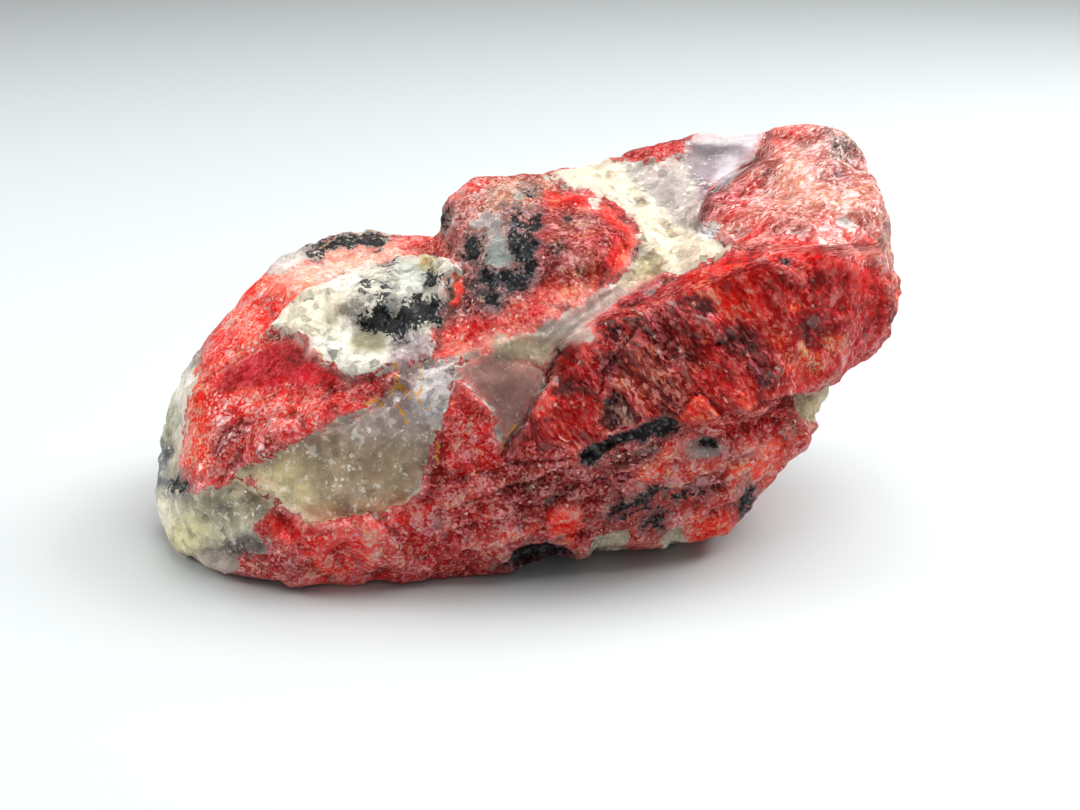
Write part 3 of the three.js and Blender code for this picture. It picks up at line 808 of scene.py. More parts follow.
FINER_ROUNDS = 2
CRISPNESS = 0.7  # how much the ridges and creases are sharpened after they are made finer
CRISP_ROUNDS = 14  # rounds of smoothing of the form that they are sharpened against
NORMAL_ROUNDS = 3
FOOT_RISE = 0.3  # mm above the floor up to which the foot is left as it is
WANDER = 4.0  # pixels that an outline's bays reach out or in
BAYS = ((3.5, 11), (3.5, 23))  # clouds that the bays follow, across and down: size in mm, seed
# Cosine of a face's turn to the camera's place: far side below the first, near side above the second.
TURNED = (-0.42, -0.12)
TURNED_BAYS = (9, 5, 2)  # clouds: size in mm, seed, how many finer sizes


class Skin:
    """The stone's fine skin, and what is known about each of its points."""

    def __init__(self, cad):
        points, triangles = merged_skin(cad)
        for _ in range(FINER_ROUNDS):
            points, triangles = finer(points, triangles)
        self.triangles = triangles
        self.edges, _ = edges_of(triangles)
        crisp = points + CRISPNESS * (points - relaxed(points, self.edges, CRISP_ROUNDS))
        points = np.where(points[:, 2:] < FOOT_RISE, points, crisp)
        self.form = points
        self.points = points
        self.normals = unit(relaxed(normals_of(points, triangles), self.edges, NORMAL_ROUNDS))
        spots, self.pixel = seen(points)
        wander = np.stack([clouds(points, *bay) for bay in BAYS], axis=1)
        self.spots = spots + WANDER * wander
        facing = np.sum(self.normals * unit(EYE - points), axis=1)
        self.front = smoothstep(*TURNED, facing + 0.12 * clouds(points, *TURNED_BAYS))

    def depth_in(self, outline):
        """Millimetres inside an outline, negative outside it."""
        return inside(self.spots, outline) * self.pixel

    def layered(self, base, layers):
        """A value at every point: the base with each layer laid over it, feathered at its outline."""
        value = np.repeat(np.atleast_2d(base), len(self.points), axis=0)
        for _, feather, over, outline in layers:
            over = linear(over) if isinstance(over, str) else over
            share = smoothstep(-feather, feather, self.depth_in(outline))[:, None]
            value = value * (1 - share) + np.atleast_2d(over) * share
        return value

    def nearest(self, lines):
        return np.min([beside(self.spots, line) * self.pixel for line in lines], axis=0)

    def deepest(self, outlines):
        return np.max([self.depth_in(outline) for outline in outlines.values()], axis=0)

    def blended(self, near, far):
        """The near side's value where the point faces the camera's place, else the far side's."""
        share = self.front if near.ndim == 1 else self.front[:, None]
        return near * share + far * (1 - share)


# ---------------------------------------------------------------- minerals over the skin

# The far side's quartz veins: the way across one, its place along that, half its thickness in mm.
FAR_VEINS = [
    ((0.78, 0.1, 0.62), 8.0, 4.5), ((0.35, -0.3, 0.89), 36.0, 2.6), ((0.95, 0.2, -0.22), -38.0, 6.0),
]

# The far side's colours: the base, how softly a cloud starts and ends, and each cloud laid over the
# base: colour, size in mm, seed, and the level from 0 to 1 that it starts at.
FAR_REDS = ("b23a42", (0.1, 0.15), [
    ("8c2430", 22, 61, 0.1), ("d08480", 19, 67, 0.15), ("dc3428", 13, 71, 0.3), ("5c1018", 11, 73, 0.35),
    ("cc5a56", 9, 79, 0.3),
])
FAR_QUARTZES = ("dcd6c8", (0.15, 0.2), [
    ("a8a290", 18, 81, 0.15), ("faf4e4", 14, 83, 0.1), ("b4a6aa", 16, 87, 0.3),
])
NOWHERE = -9.0  # mm inside something, for the side of the stone that has none of it

# More clouds: size in mm, seed, how many finer sizes.
VEIN_BENDS = [(26, 31, 4), (26, 32, 4), (26, 33, 4)]
VEIN_SWELL = (19, 37, 3)
PODS = (24, 41, 4)
FAR_BLOTCHES = (17, 53, 4)
FAR_SEAMS = (26, 57, 4)
FAR_SEAM_GAPS = (21, 59, 2)
FAR_BLADES = (30, 91, 2)
DRAWN_BLOTCHES = (5, 95, 3)
BLOTCHES = (8, 97, 3)
LEDGE_BAYS = (11, 331, 3)
PARTINGS = (13, 335, 2)
GLASS_SWELL = (2.6, 306, 2)
SWELL = (5, 341, 3)


def far_quartz(points):
    """The far side's quartz: wandering veins that swell and pinch, and a few pods, in mm inside them."""
    bent = points + 9 * np.stack([clouds(points, *bend) for bend in VEIN_BENDS], axis=1)
    swell = 1 + 1.1 * clouds(points, *VEIN_SWELL)
    veins = [half * swell - np.abs(bent @ np.array(across) - place) for across, place, half in FAR_VEINS]
    pods = 9 * (clouds(bent, *PODS) - 0.3)
    return np.maximum(np.max(veins, axis=0), pods)


def far_oxide(points, quartz):
    """The far side's oxide: blotches beside the quartz, and thin branching seams, in mm inside them."""
    blotches = 9 * (clouds(points, *FAR_BLOTCHES) - 0.36) - 0.2 * np.abs(quartz)
    seams = 0.35 - 14 * np.abs(clouds(points, *FAR_SEAMS))
    seams -= 6 * smoothstep(0.1, -0.1, clouds(points, *FAR_SEAM_GAPS))
    return np.maximum(blotches, seams)


def far_body(points, base, soft, tones):
    """A mineral's body colour on the far side: its base with clouds of each tone laid over it."""
    value = np.repeat(linear(base)[None], len(points), axis=0)
    for colour, size, seed, level in tones:
        share = smoothstep(level - soft[0], level + soft[1], clouds(points, size, seed))[:, None]
        value = value * (1 - share) + linear(colour) * share
    return value


def near_oxide(skin):
    """Millimetres inside the near side's oxide. Bars count threefold, which keeps their edges clean."""
    threads = np.max([half - skin.nearest([line]) for half, line in OXIDE_THREADS], axis=0)
    return np.max([skin.deepest(OXIDE), 3 * skin.deepest(OXIDE_BARS), threads], axis=0)


def minerals(skin):
    """What is known at each point: mm inside each mineral, its body colours, and how its grains lie."""
    points = skin.form
    nowhere = np.full(len(points), NOWHERE)
    quartz = far_quartz(points)
    reds = skin.blended(skin.layered(linear(RED_BASE), REDS), far_body(points, *FAR_REDS))
    whites = skin.blended(skin.layered(linear(QUARTZ_BASE), QUARTZES), far_body(points, *FAR_QUARTZES))
    far_blades = 6 * clouds(points, *FAR_BLADES)
    found = {
        "quartz": skin.blended(skin.deepest(QUARTZ), quartz),
        "oxide": skin.blended(near_oxide(skin), far_oxide(points, quartz)),
        "stain": skin.blended(-skin.nearest(STAIN), nowhere),
        "grain": skin.blended(skin.layered(GRAIN_BASE, GRAIN)[:, 0], np.full(len(points), GRAIN_BASE)),
        "pale": skin.blended(skin.layered(PALE_BASE, PALE)[:, 0], np.full(len(points), PALE_BASE)),
        "blades": smoothstep(-1, 1, skin.blended(skin.depth_in(BROAD_FRONT), far_blades)),
        "top_blades": smoothstep(-1, 1, skin.blended(skin.depth_in(TALL_TOP), -far_blades - 2)),
        "sheets": smoothstep(-2.5, 2.5, skin.blended(skin.depth_in(SHEETS), nowhere)),
    }
    # Painted light and shade: the reds are lighter at the top of each ledge and darker low on it, where the
    # step above shades it. Besides that they are darker in blotches that follow the blades.
    ledge_light_and_shade = 1 + found["sheets"] * (0.5 * (1 - ledges(points)[1]) - 0.2)
    drawn = clouds(along_blades(points, FRONT_BLADES), *DRAWN_BLOTCHES) * found["blades"]
    blotches = drawn + clouds(points, *BLOTCHES) * (1 - found["blades"])
    found["red_body"] = reds ** (np.exp(-0.8 * blotches) / ledge_light_and_shade)[:, None]
    found["quartz_body"] = whites
    return found


# ---------------------------------------------------------------- fine relief

WORN_END = (-30.0, -48.0)  # along X: where the stone starts to be worn, and where it is quite worn

# Facets of each kind of break: mm across, how far they lean, how far they stand in mm, seed.
BROKEN = [(7.0, 0.15, 0.2, 101), (3.0, 0.15, 0.1, 131), (1.6, 0.15, 0.05, 161)]
BLADED = [(3.4, 0.2, 0.2, 201), (1.6, 0.2, 0.07, 231), (6.0, 0.1, 0.25, 261)]
SUGARY = [(3.6, 0.3, 0.22, 301), (1.8, 0.25, 0.08, 311)]
GLASSY = [(5.0, 0.16, 0.1, 305)]
OXIDE_GRIT = [(1.4, 0.5, 0.25, 321)]
OXIDE_SUNK = 0.25  # mm that the oxide lies lower than what is round it
LEDGE_HEIGHT = 0.7  # mm from the top of a ledge to its foot
SWELL_HEIGHT = 0.12  # mm
WORN_RED = 0.7  # the share of the rhodonite's relief that wear takes off
WORN_QUARTZ = 0.3
FLAT_FOOT = 0.02  # mm above the floor up to which the stone rests on it
EDGE_STANDS = 0.16  # mm that a point stands out from its surroundings to count as a full edge


def along_blades(points, way):
    """The points with the way that the blades lie shortened, so that a pattern on them is drawn out."""
    return points - np.outer(points @ way * (1 - 1 / STRETCH), way)


def ledges(points):
    """Where sheets have parted, from 0 to 1, and how far down its ledge a point lies, from 0 to 1."""
    climb = points[:, 2] * math.cos(SHEET_DIP) - points[:, 0] * math.sin(SHEET_DIP)
    climb += 2.2 * clouds(points, *LEDGE_BAYS)
    parted = smoothstep(-0.25, 0.35, clouds(points, *PARTINGS))
    return parted, np.mod(climb / LEDGE_PITCH, 1.0)


def relief(skin, found):
    """Height of the fine relief at each point, in millimetres."""
    points = skin.form

    def broken(kinds, where=points):
        return sum(facets(where, *kind) for kind in kinds)

    in_quartz = smoothstep(-0.3, 0.6, found["quartz"])
    in_oxide = smoothstep(-0.3, 0.5, found["oxide"])
    grain = found["grain"]
    worn = smoothstep(*WORN_END, points[:, 0])

    rough = broken(BROKEN) * (1 - found["blades"])
    rough += broken(BLADED, along_blades(points, FRONT_BLADES)) * found["blades"]
    height = rough * (0.2 + 0.8 * grain) * (1 - WORN_RED * worn) * (1 - in_quartz)

    glassy = 0.5 * broken(GLASSY) + 0.16 * clouds(points, *GLASS_SWELL)
    height += in_quartz * (grain * broken(SUGARY) + (1 - grain) * glassy) * (1 - WORN_QUARTZ * worn)
    height += in_oxide * (broken(OXIDE_GRIT) - OXIDE_SUNK)

    parted, step = ledges(points)
    height += found["sheets"] * parted * (LEDGE_HEIGHT / 2 - LEDGE_HEIGHT * step)

    for _, rise, edge, outline in STEPS:
        height += skin.front * rise * smoothstep(-edge, edge, skin.depth_in(outline))
    for _, rise, half, line in LINES:
        height += skin.front * rise * (1 - smoothstep(0, half, skin.nearest([line])))
    return height + SWELL_HEIGHT * clouds(points, *SWELL)


def shaped(skin, found):
    """Moves the skin out and in by its relief, keeps it flat where it rests, and notes what stands out."""
    moved = skin.form + skin.normals * relief(skin, found)[:, None]
    resting = skin.form[:, 2] < FLAT_FOOT
    moved[:, 2] = np.where(resting, 0.0, np.maximum(moved[:, 2], 0.0))
    skin.points = moved
    soft = relaxed(moved, skin.edges, 5)
    stands = np.sum((moved - soft) * normals_of(moved, skin.triangles), axis=1)
    found["edge"] = np.clip(stands / EDGE_STANDS, -1, 1)


def stone_object(skin, found):
    """The stone's mesh, with what the material reads kept on its points."""
    mesh = bpy.data.meshes.new("rhodonite_stone_surface")
    mesh.vertices.add(len(skin.points))
    mesh.vertices.foreach_set("co", (skin.points * MM).ravel())
    mesh.loops.add(skin.triangles.size)
    mesh.loops.foreach_set("vertex_index", skin.triangles.ravel())
    mesh.polygons.add(len(skin.triangles))
    mesh.polygons.foreach_set("loop_start", np.arange(0, skin.triangles.size, 3))
    mesh.polygons.foreach_set("use_smooth", np.ones(len(skin.triangles), bool))
    mesh.update(calc_edges=True)
    mesh.validate()
    for name, value in found.items():
        if value.ndim == 1:
            layer = mesh.attributes.new(name, "FLOAT", "POINT")
            layer.data.foreach_set("value", value.astype(np.float32))
        else:
            layer = mesh.attributes.new(name, "FLOAT_COLOR", "POINT")
            layer.data.foreach_set("color", np.c_[value, np.ones(len(value))].astype(np.float32).ravel())
    stone = bpy.data.objects.new("rhodonite_stone_surface", mesh)
    bpy.context.scene.collection.objects.link(stone)
    return stone


# ---------------------------------------------------------------- materials

# Settings that many nodes share.
TIMES = {"operation": "MULTIPLY"}
PLUS = {"operation": "ADD"}
MINUS = {"operation": "SUBTRACT"}
TIMES_PLUS = {"operation": "MULTIPLY_ADD"}
LARGER = {"operation": "MAXIMUM"}
SMALLER = {"operation": "MINIMUM"}
SCALED = {"operation": "SCALE"}
ALONG = {"operation": "DOT_PRODUCT", "out": "Value"}
EASED = {"interpolation_type": "SMOOTHSTEP"}
LAID_OVER = {"data_type": "RGBA", "out": 2}

COARSE_GRAIN = 1.5  # mm
FINE_GRAIN = 0.42  # mm
WAVES = 1.3  # mm across the waves that bend the grains' faces
WAVE_HEIGHT = 0.6
MIDDLE = (0.5, 0.5, 0.5)  # of a random triple or a noise's colour
SUNK_RED = (1.16, 0.86, 0.74)  # rhodonite gives back more red, less green and least blue
WARM_GRAIN = (1.15, 1.3, 0.7)
COOL_GRAIN = (0.75, 0.5, 0.8)
SMOKY_GRAIN = (0.74, 0.7, 0.6)
DEPTHS = (0.4, 1.95)  # the palest and the deepest that a grain of rhodonite gets


def add(tree, kind, inputs=(), out=0, **settings):
    """Adds a node with its settings, sets or links its inputs, and gives back one output or all of them."""
    made = tree.nodes.new("ShaderNode" + kind)
    for name, value in settings.items():
        setattr(made, name, value)
    given = inputs if isinstance(inputs, dict) else dict(enumerate(inputs))
    for socket, value in given.items():
        if isinstance(value, bpy.types.NodeSocket):
            tree.links.new(value, made.inputs[socket])
        else:
            made.inputs[socket].default_value = value
    return made.outputs if out is None else made.outputs[out]


def paint(colour):
    """A hex colour as a shader's socket takes it."""
    return (*linear(colour), 1.0)


def rhodonite():
    """Rhodonite broken across its crystals, with quartz and manganese oxide grown through it.

    A glassy silicate, slightly see-through, so light goes a millimetre or two in. Fresh breaks glitter
    in small flat facets; quartz is paler and smoother, and the oxide is black with a dull metal gleam.
    """
    material = bpy.data.materials.new("rhodonite, quartz and manganese oxide")
    material.use_nodes = True
    tree = material.node_tree
    tree.nodes.clear()

    mm = add(tree, "VectorMath", {0: add(tree, "TexCoord", out="Object"), "Scale": 1 / MM}, **SCALED)
    quartz, oxide, stain, grain, blades, top_blades, edge, pale = (
        add(tree, "Attribute", out="Fac", attribute_name=name)
        for name in ("quartz", "oxide", "stain", "grain", "blades", "top_blades", "edge", "pale")
    )
    red, clear = (
        add(tree, "Attribute", out="Color", attribute_name=name) for name in ("red_body", "quartz_body")
    )

    # Crystal grains of two sizes, with bent faces, and drawn out where the blades are.
    waves = {"Vector": mm, "Scale": 1 / WAVES, "Detail": 3.0, "Roughness": 0.6}
    waves = add(tree, "VectorMath", (add(tree, "TexNoise", waves, out="Color"), MIDDLE), **MINUS)
    waves = add(tree, "VectorMath", {0: waves, "Scale": WAVE_HEIGHT}, **SCALED)
    bent = add(tree, "VectorMath", (mm, waves), **PLUS)
    lie = bent
    for amount, way in ((blades, FRONT_BLADES), (top_blades, TOP_BLADES)):
        run = add(tree, "VectorMath", (bent, way), **ALONG)
        run = add(tree, "Math", (run, 1 - 1 / STRETCH), **TIMES)
        run = add(tree, "VectorMath", {0: way, "Scale": run}, **SCALED)
        drawn = add(tree, "VectorMath", (bent, run), **MINUS)
        lie = add(tree, "Mix", {0: amount, 4: lie, 5: drawn}, out=1, data_type="VECTOR")
    coarse, fine = (
        add(tree, "TexVoronoi", {"Vector": lie, "Scale": 1 / size}, out=None)
        for size in (COARSE_GRAIN, FINE_GRAIN)
    )
    seams = add(tree, "TexVoronoi", {"Vector": lie, "Scale": 1 / COARSE_GRAIN}, feature="DISTANCE_TO_EDGE")
    coarse_chance, fine_chance = (
        add(tree, "SeparateColor", (cells["Color"],), out=None) for cells in (coarse, fine)
    )

    # Noise: where it is read, mm across its blotches, how many finer sizes it has, and their weight.
    noise = {}
    for name, place, size, levels, weight in (
        ("crumbs", mm, 0.8, 6.0, 0.7),
        ("drift", lie, 3.4, 6.0, 0.65),
        ("speckle", lie, 0.4, 2.0, 0.5),
        ("hairs", lie, 1.0, 3.0, 0.6),
        ("clumps", mm, 2.6, 4.0, 0.6),
        ("cloudiness", mm, 1.1, 3.0, 0.6),
        ("healed seams", mm, 3.2, 3.0, 0.6),
        ("chips", mm, 0.9, 2.0, 0.5),
        ("lumps", mm, 2.0, 3.0, 0.55),
        ("borders", mm, 7.0, 2.0, 0.6),
    ):
        settings = {"Vector": place, "Scale": 1 / size, "Detail": levels, "Roughness": weight}
        noise[name] = add(tree, "TexNoise", settings)
    crumbs, drift = noise["crumbs"], noise["drift"]
    crumbs_off, coarse_off, fine_off, hairs, healed = (
        add(tree, "Math", (value, 0.5), **MINUS)
        for value in (crumbs, coarse_chance[2], fine_chance[2], noise["hairs"], noise["healed seams"])
    )
    hairs, healed = (add(tree, "Math", (value,), operation="ABSOLUTE") for value in (hairs, healed))

    # Shares: what each follows, from and to there, the share from and to, and the shares it is cut by.
    clumps = add(tree, "MapRange", (noise["clumps"], 0.42, 0.62, 0, 1), **EASED)
    share = {"grain": grain, "pale": pale, "clumps": clumps}
    for name, row, *cuts in (
        ("sugary", (grain, 0.15, 0.5, 0, 1)),
        # how deep light sinks into the rhodonite
        ("sinks, drift", (drift, 0.32, 0.7, 1.5, 0.68)),
        ("sinks, coarse grains", (coarse_chance[0], 0, 1, 1.45, 0.68)),
        ("sinks, fine grains", (fine_chance[0], 0, 1, 1.7, 0.55)),
        ("sinks, speckle", (noise["speckle"], 0.3, 0.7, 1.3, 0.75)),
        ("sinks, by grain", (grain, 0, 1, 0.4, 1.35)),
        # the rhodonite's grains and bruises
        ("unbruised", (pale, 0.4, 0.9, 1, 0.1)),
        ("warm grains", (coarse_chance[1], 0.5, 0.9, 0, 0.7), "unbruised"),
        ("cool grains", (fine_chance[1], 0.5, 0.2, 0, 0.5), "grain"),
        ("broken seams", (crumbs, 0.53, 0.6, 0, 1)),
        ("bruised seams", (seams, 0.06, 0.02, 0, 0.6), "broken seams"),
        ("bruised hairs", (hairs, 0.016, 0.006, 0, 0.9), "clumps"),
        ("bruised", (pale, 0, 0.8, 0, 0.9)),
        ("haze in clumps", (clumps, 0, 1, 0.3, 1)),
        ("haze", (fine_chance[1], 0.62, 0.66, 0, 0.7), "haze in clumps", "pale"),
        # the palest flecks: partly their own colour, partly painted glints
        ("whitest bruises", (fine_chance[1], 0.45, 0.95, 0, 0.8)),
        # the quartz's clouds, grains and frosted breaks
        ("cloudy, drift", (drift, 0.3, 0.66, 0.84, 1.1)),
        ("cloudy", (noise["cloudiness"], 0.35, 0.65, 0.92, 1.06), "cloudy, drift"),
        ("clearer grains", (coarse_chance[0], 1, 0, 0.06, -0.16), "grain"),
        ("smoky grains", (coarse_chance[1], 0.82, 0.86, 0, 0.5), "grain"),
        ("broken light seams", (crumbs, 0.52, 0.6, 0, 1)),
        ("light seams", (seams, 0.08, 0.02, 0, 0.5), "broken light seams", "grain"),
        ("healed seams", (healed, 0.01, 0.003, 0, 0.3), "clumps"),
        ("frost", (fine_chance[2], 0.9, 0.93, 0, 0.7), "clumps", "sugary"),
        ("chips", (noise["chips"], 0.67, 0.69, 0, 0.8), "clumps", "sugary"),
        ("lumps", (noise["lumps"], 0.6, 0.66, 0, 0.5), "sugary"),
        # the borders between minerals
        ("quartz starts", (grain, 0.15, 0.6, -1, -0.12)),
        ("quartz is whole", (grain, 0.15, 0.6, 0.7, 0.12)),
        ("blurred faces", (grain, 0.3, 0.8, 1, 0.3)),
        ("blurred", (noise["borders"], 0.42, 0.58, 0.3, 0.9), "blurred faces"),
        ("rubbed", (edge, 0.3, 1.2, 0, 0.1)),
        ("oxide smear", (drift, 0.4, 0.6, 0.35, 1)),
        ("gleaming oxide", (fine_chance[0], 0.78, 0.9, 0, 0.5)),
        # gloss
        ("glitter", (grain, 0, 1, 0.25, 1)),
        ("roughness", (fine_chance[1], 0, 1, 0.25, 0.6)),
        ("coarse glints", (coarse_chance[1], 0.93, 0.95, 0, 0.7)),
        ("fine glints", (fine_chance[1], 0.9, 0.93, 0, 0.7)),
        ("glinting parts", (grain, 0.2, 0.7, 0, 1)),
    ):
        value = add(tree, "MapRange", row, **EASED)
        for cut in cuts:
            value = add(tree, "Math", (value, share[cut]), **TIMES)
        share[name] = value

    # Rhodonite: light sinks deeper into clear grains, and comes back darker and of a purer red.
    depth = 1.0
    for name in ("sinks, drift", "sinks, coarse grains", "sinks, fine grains", "sinks, speckle"):
        depth = add(tree, "Math", (depth, share[name]), **TIMES)
    depth = add(tree, "Math", (add(tree, "Math", (depth, 1.0), **MINUS), share["sinks, by grain"]), **TIMES)
    depth = add(tree, "Math", (add(tree, "Math", (1.0, depth), **PLUS), DEPTHS[1]), **SMALLER)
    depth = add(tree, "Math", (depth, DEPTHS[0]), **LARGER)
    red = add(tree, "Gamma", (add(tree, "VectorMath", (red, SUNK_RED), **TIMES), depth))
    for name, tint in (("warm grains", WARM_GRAIN), ("cool grains", COOL_GRAIN)):
        tinted = add(tree, "VectorMath", (red, tint), **TIMES)
        red = add(tree, "Mix", {0: share[name], 6: red, 7: tinted}, **LAID_OVER)

    # Bruised seams between grains, hair-fine cleavage lines, and flakes that stand loose: all pale pink.
    # The near-white among them are partly the flakes' own pale colour and partly painted glints of light on
    # their faces. About one fine grain in eight is a loose flake at most, where the stone is palest.
    loose_flakes_and_glints = add(tree, "Math", (pale, add(tree, "Math", (share["clumps"], 0.15), **PLUS)), **TIMES)
    loose_flakes_and_glints = add(tree, "Math", (loose_flakes_and_glints, -0.12, 1.0), **TIMES_PLUS)
    loose_flakes_and_glints = add(tree, "Math", (fine_chance[2], loose_flakes_and_glints), **MINUS)
    loose_flakes_and_glints = add(tree, "MapRange", (loose_flakes_and_glints, 0, 0.02, 0, 0.85), **EASED)
    bruises_and_glints = add(tree, "Math", (share["bruised seams"], share["bruised hairs"]), **LARGER)
    bruises_and_glints = add(tree, "Math", (bruises_and_glints, share["bruised"]), **TIMES)
    bruises_and_glints = add(tree, "Math", (bruises_and_glints, loose_flakes_and_glints), **LARGER)
    pink = add(tree, "Mix", {0: pale, 6: paint("e0705c"), 7: paint("fac0b4")}, **LAID_OVER)
    pink = add(tree, "Mix", {0: share["whitest bruises"], 6: pink, 7: paint("ffe4da")}, **LAID_OVER)
    for amount, over in ((share["haze"], paint("d8786c")), (bruises_and_glints, pink)):
        red = add(tree, "Mix", {0: amount, 6: red, 7: over}, **LAID_OVER)

    # Quartz: cloudy within, each grain more or less so, with bright healed seams and frosted chips.
    light = add(tree, "Math", (1.0, share["clearer grains"]), **PLUS)
    light = add(tree, "Math", (share["cloudy"], light), **TIMES)
    clear = add(tree, "VectorMath", {0: clear, "Scale": light}, **SCALED)
    smoky = add(tree, "VectorMath", (clear, SMOKY_GRAIN), **TIMES)
    clear = add(tree, "Mix", {0: share["smoky grains"], 6: clear, 7: smoky}, **LAID_OVER)
    bright = 0.0
    for name in ("light seams", "healed seams", "frost", "chips", "lumps"):
        bright = add(tree, "Math", (bright, share[name]), **LARGER)
    clear = add(tree, "Mix", {0: bright, 6: clear, 7: paint("faf6e8")}, **LAID_OVER)

    # Where one mineral gives way to the next, the border strays by the grains, by so many mm.
    reach = {}
    for name, middle, *strays in (
        ("quartz", quartz, (crumbs_off, 1.6), (coarse_off, 0.9)),
        ("stain", stain, (crumbs_off, 1.0)),
        ("oxide", oxide, (crumbs_off, 2.4), (fine_off, 0.9), (coarse_off, 1.0)),
    ):
        for off, stray in strays:
            middle = add(tree, "Math", (off, stray, middle), **TIMES_PLUS)
        reach[name] = middle
    quartz_row = (reach["quartz"], share["quartz starts"], share["quartz is whole"], 0, 1)
    quartz_here = add(tree, "MapRange", quartz_row, **EASED)
    veil, blush = (
        add(tree, "MapRange", (reach["quartz"], start, end, 0, 0.45), **EASED)
        for start, end in ((-2.2, 0.2), (2.0, 0.0))
    )
    veil, blush = (add(tree, "Math", (amount, share["blurred"]), **TIMES) for amount in (veil, blush))
    milky = add(tree, "Mix", {0: 0.6, 6: clear, 7: paint("eeb8ae")}, **LAID_OVER)
    veiled = add(tree, "Mix", {0: veil, 6: red, 7: milky}, **LAID_OVER)
    blushing = add(tree, "Mix", {0: blush, 6: clear, 7: red}, **LAID_OVER)
    body = add(tree, "Mix", {0: quartz_here, 6: veiled, 7: blushing}, **LAID_OVER)

    # Edges are rubbed pale. Hollows are painted darker as shade, more on the rhodonite than on the quartz.
    body = add(tree, "Mix", {0: share["rubbed"], 6: body, 7: paint("f0d0c6")}, **LAID_OVER)
    painted_hollow_shade = add(tree, "MapRange", (quartz_here, 0, 1, 0.6, 0.9), **EASED)
    painted_hollow_shade = add(tree, "MapRange", (edge, -1, -0.1, painted_hollow_shade, 1), **EASED)
    body = add(tree, "VectorMath", {0: body, "Scale": painted_hollow_shade}, **SCALED)

    # Iron stain in threads, then the oxide, which smears round its rim and breaks into specks there.
    stained = add(tree, "MapRange", (reach["stain"], -0.26, -0.16, 0, 0.9), **EASED)
    smeared = add(tree, "MapRange", (reach["oxide"], -2.4, 0, 0, 0.7), **EASED)
    smeared = add(tree, "Math", (smeared, share["oxide smear"]), **TIMES)
    oxide_here = add(tree, "MapRange", (reach["oxide"], -0.1, 0.12, 0, 0.96), **EASED)
    # The oxide's grey grains are partly grey specks it has and partly painted sheen of its dull metal
    # gleam.
    black = {0: share["gleaming oxide"], 6: paint("15181b"), 7: paint("6a7478")}
    black = add(tree, "Mix", black, **LAID_OVER)
    for amount, over in ((stained, paint("dc9c44")), (smeared, paint("5a5556")), (oxide_here, black)):
        body = add(tree, "Mix", {0: amount, 6: body, 7: over}, **LAID_OVER)

    # Facets of the grains, each leaning its own way: the height is the lean times the way across it.
    height = add(tree, "Math", (crumbs, 0.3), **TIMES)
    for cells, in_quartz in ((coarse, 1.5), (fine, 0.3)):
        across = add(tree, "VectorMath", (lie, cells["Position"]), **MINUS)
        lean = add(tree, "VectorMath", (cells["Color"], MIDDLE), **MINUS)
        rise = add(tree, "VectorMath", (across, lean), **ALONG)
        weight = add(tree, "MapRange", (quartz_here, 0, 1, 1, in_quartz), **EASED)
        height = add(tree, "Math", (rise, weight, height), **TIMES_PLUS)
    bump = add(tree, "Bump", {"Strength": share["glitter"], "Distance": MM, "Height": height})

    glint = add(tree, "Math", (share["coarse glints"], share["fine glints"]), **LARGER)
    glint = add(tree, "Math", (glint, share["glinting parts"]), **TIMES)
    shader = add(
        tree, "BsdfPrincipled",
        {
            "Base Color": body, "Roughness": share["roughness"], "Normal": bump, "IOR": 1.6,
            "Specular IOR Level": 0.08, "Coat Weight": glint, "Coat Roughness": 0.12, "Coat IOR": 1.6,
            "Subsurface Weight": 0.15, "Subsurface Radius": (1.0, 0.35, 0.25), "Subsurface Scale": 1.2 * MM,
        },
        subsurface_method="RANDOM_WALK",
    )
    add(tree, "OutputMaterial", (shader,), out=None, is_active_output=True)
    return material


def floor_board():
    """Matt white board: emulsion paint, with hardly any sheen."""
    material = bpy.data.materials.new("matt white board")
    material.use_nodes = True
    shader = material.node_tree.nodes["Principled BSDF"]
    shader.inputs["Base Color"].default_value = paint("c0c5c5")
    shader.inputs["Roughness"].default_value = 0.6
    return material


# ---------------------------------------------------------------- the stage

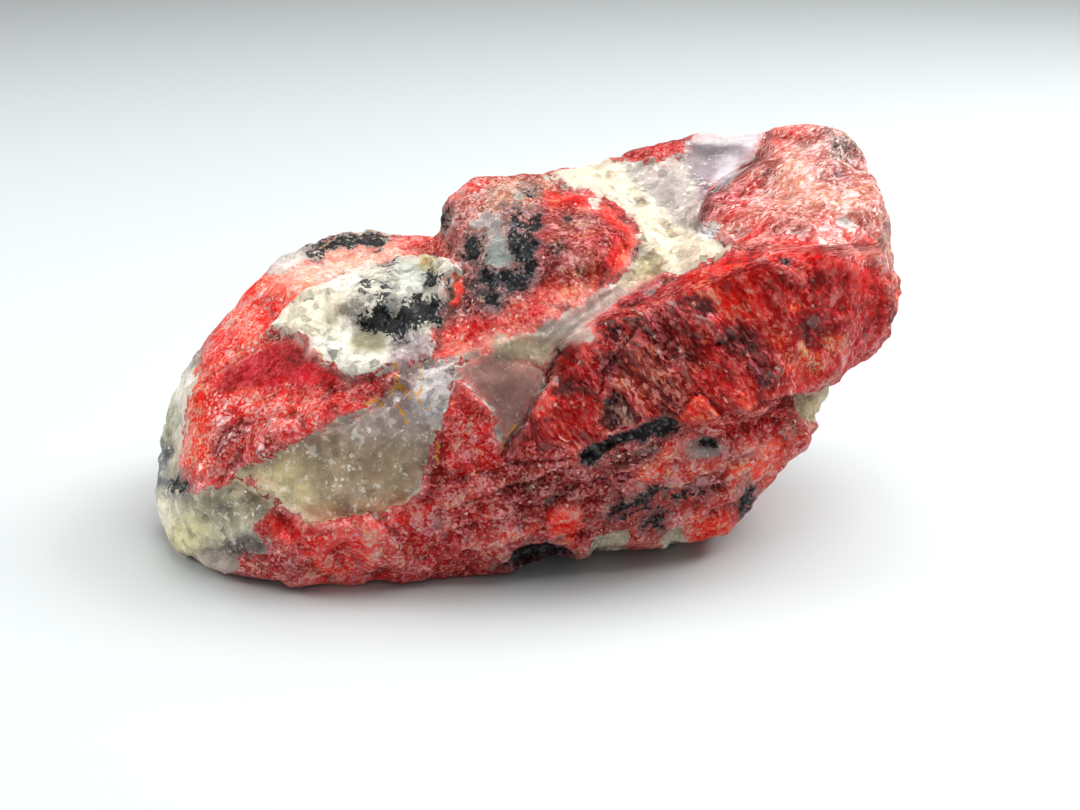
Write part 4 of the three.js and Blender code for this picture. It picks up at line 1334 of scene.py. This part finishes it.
FLOOR_HALF = 20000.0
# Soft lamps: place and aim in mm, side in mm, power in W, colour.
LAMPS = {
    "ceiling": ((180, 60, 700), (0, 40, 20), 700, 6.9, "ffffff"),
    "window behind": ((470, 190, 480), (0, 0, 20), 300, 3.5, "ffffff"),
    "window left": ((-560, 20, 360), (0, 0, 20), 260, 1.9, "fffdfa"),
}
ROOM = {"Color": paint("f4f6f8"), "Strength": 0.36}  # the white room's own light


def placed(name, data, place, target):
    """Puts a lamp or the camera at its place, turned to its target."""
    thing = bpy.data.objects.new(name, data)
    thing.location = Vector(place) * MM
    thing.rotation_mode = "QUATERNION"
    thing.rotation_quaternion = (Vector(target) - Vector(place)).to_track_quat("-Z", "Y")
    bpy.context.scene.collection.objects.link(thing)
    return thing


def stage():
    half = FLOOR_HALF * MM
    mesh = bpy.data.meshes.new("floor")
    corners = [(-half, -half, 0), (half, -half, 0), (half, half, 0), (-half, half, 0)]
    mesh.from_pydata(corners, [], [(0, 1, 2, 3)])
    mesh.materials.append(floor_board())
    floor = bpy.data.objects.new("floor", mesh)
    bpy.context.scene.collection.objects.link(floor)


def lights():
    for name, (place, target, side, power, colour) in LAMPS.items():
        lamp = bpy.data.lights.new(name, "AREA")
        lamp.size = side * MM
        lamp.energy = power
        lamp.color = linear(colour)
        placed(name, lamp, place, target)
    world = bpy.data.worlds.new("white room")
    world.use_nodes = True
    for socket, value in ROOM.items():
        world.node_tree.nodes["Background"].inputs[socket].default_value = value
    bpy.context.scene.world = world
    bpy.context.scene.view_settings.view_transform = "Standard"


def camera():
    lens = bpy.data.cameras.new("camera")
    lens.lens = LENS
    lens.sensor_width = SENSOR
    lens.clip_start = 10 * MM
    bpy.context.scene.camera = placed("camera", lens, EYE, AIM)


# ---------------------------------------------------------------- the stone, put together

camera()
lights()
stage()

skin = Skin(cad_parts["rhodonite_stone"])
found = minerals(skin)
shaped(skin, found)
stone = stone_object(skin, found)
stone.data.materials.append(rhodonite())
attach(stone, "root")
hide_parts("rhodonite_stone")
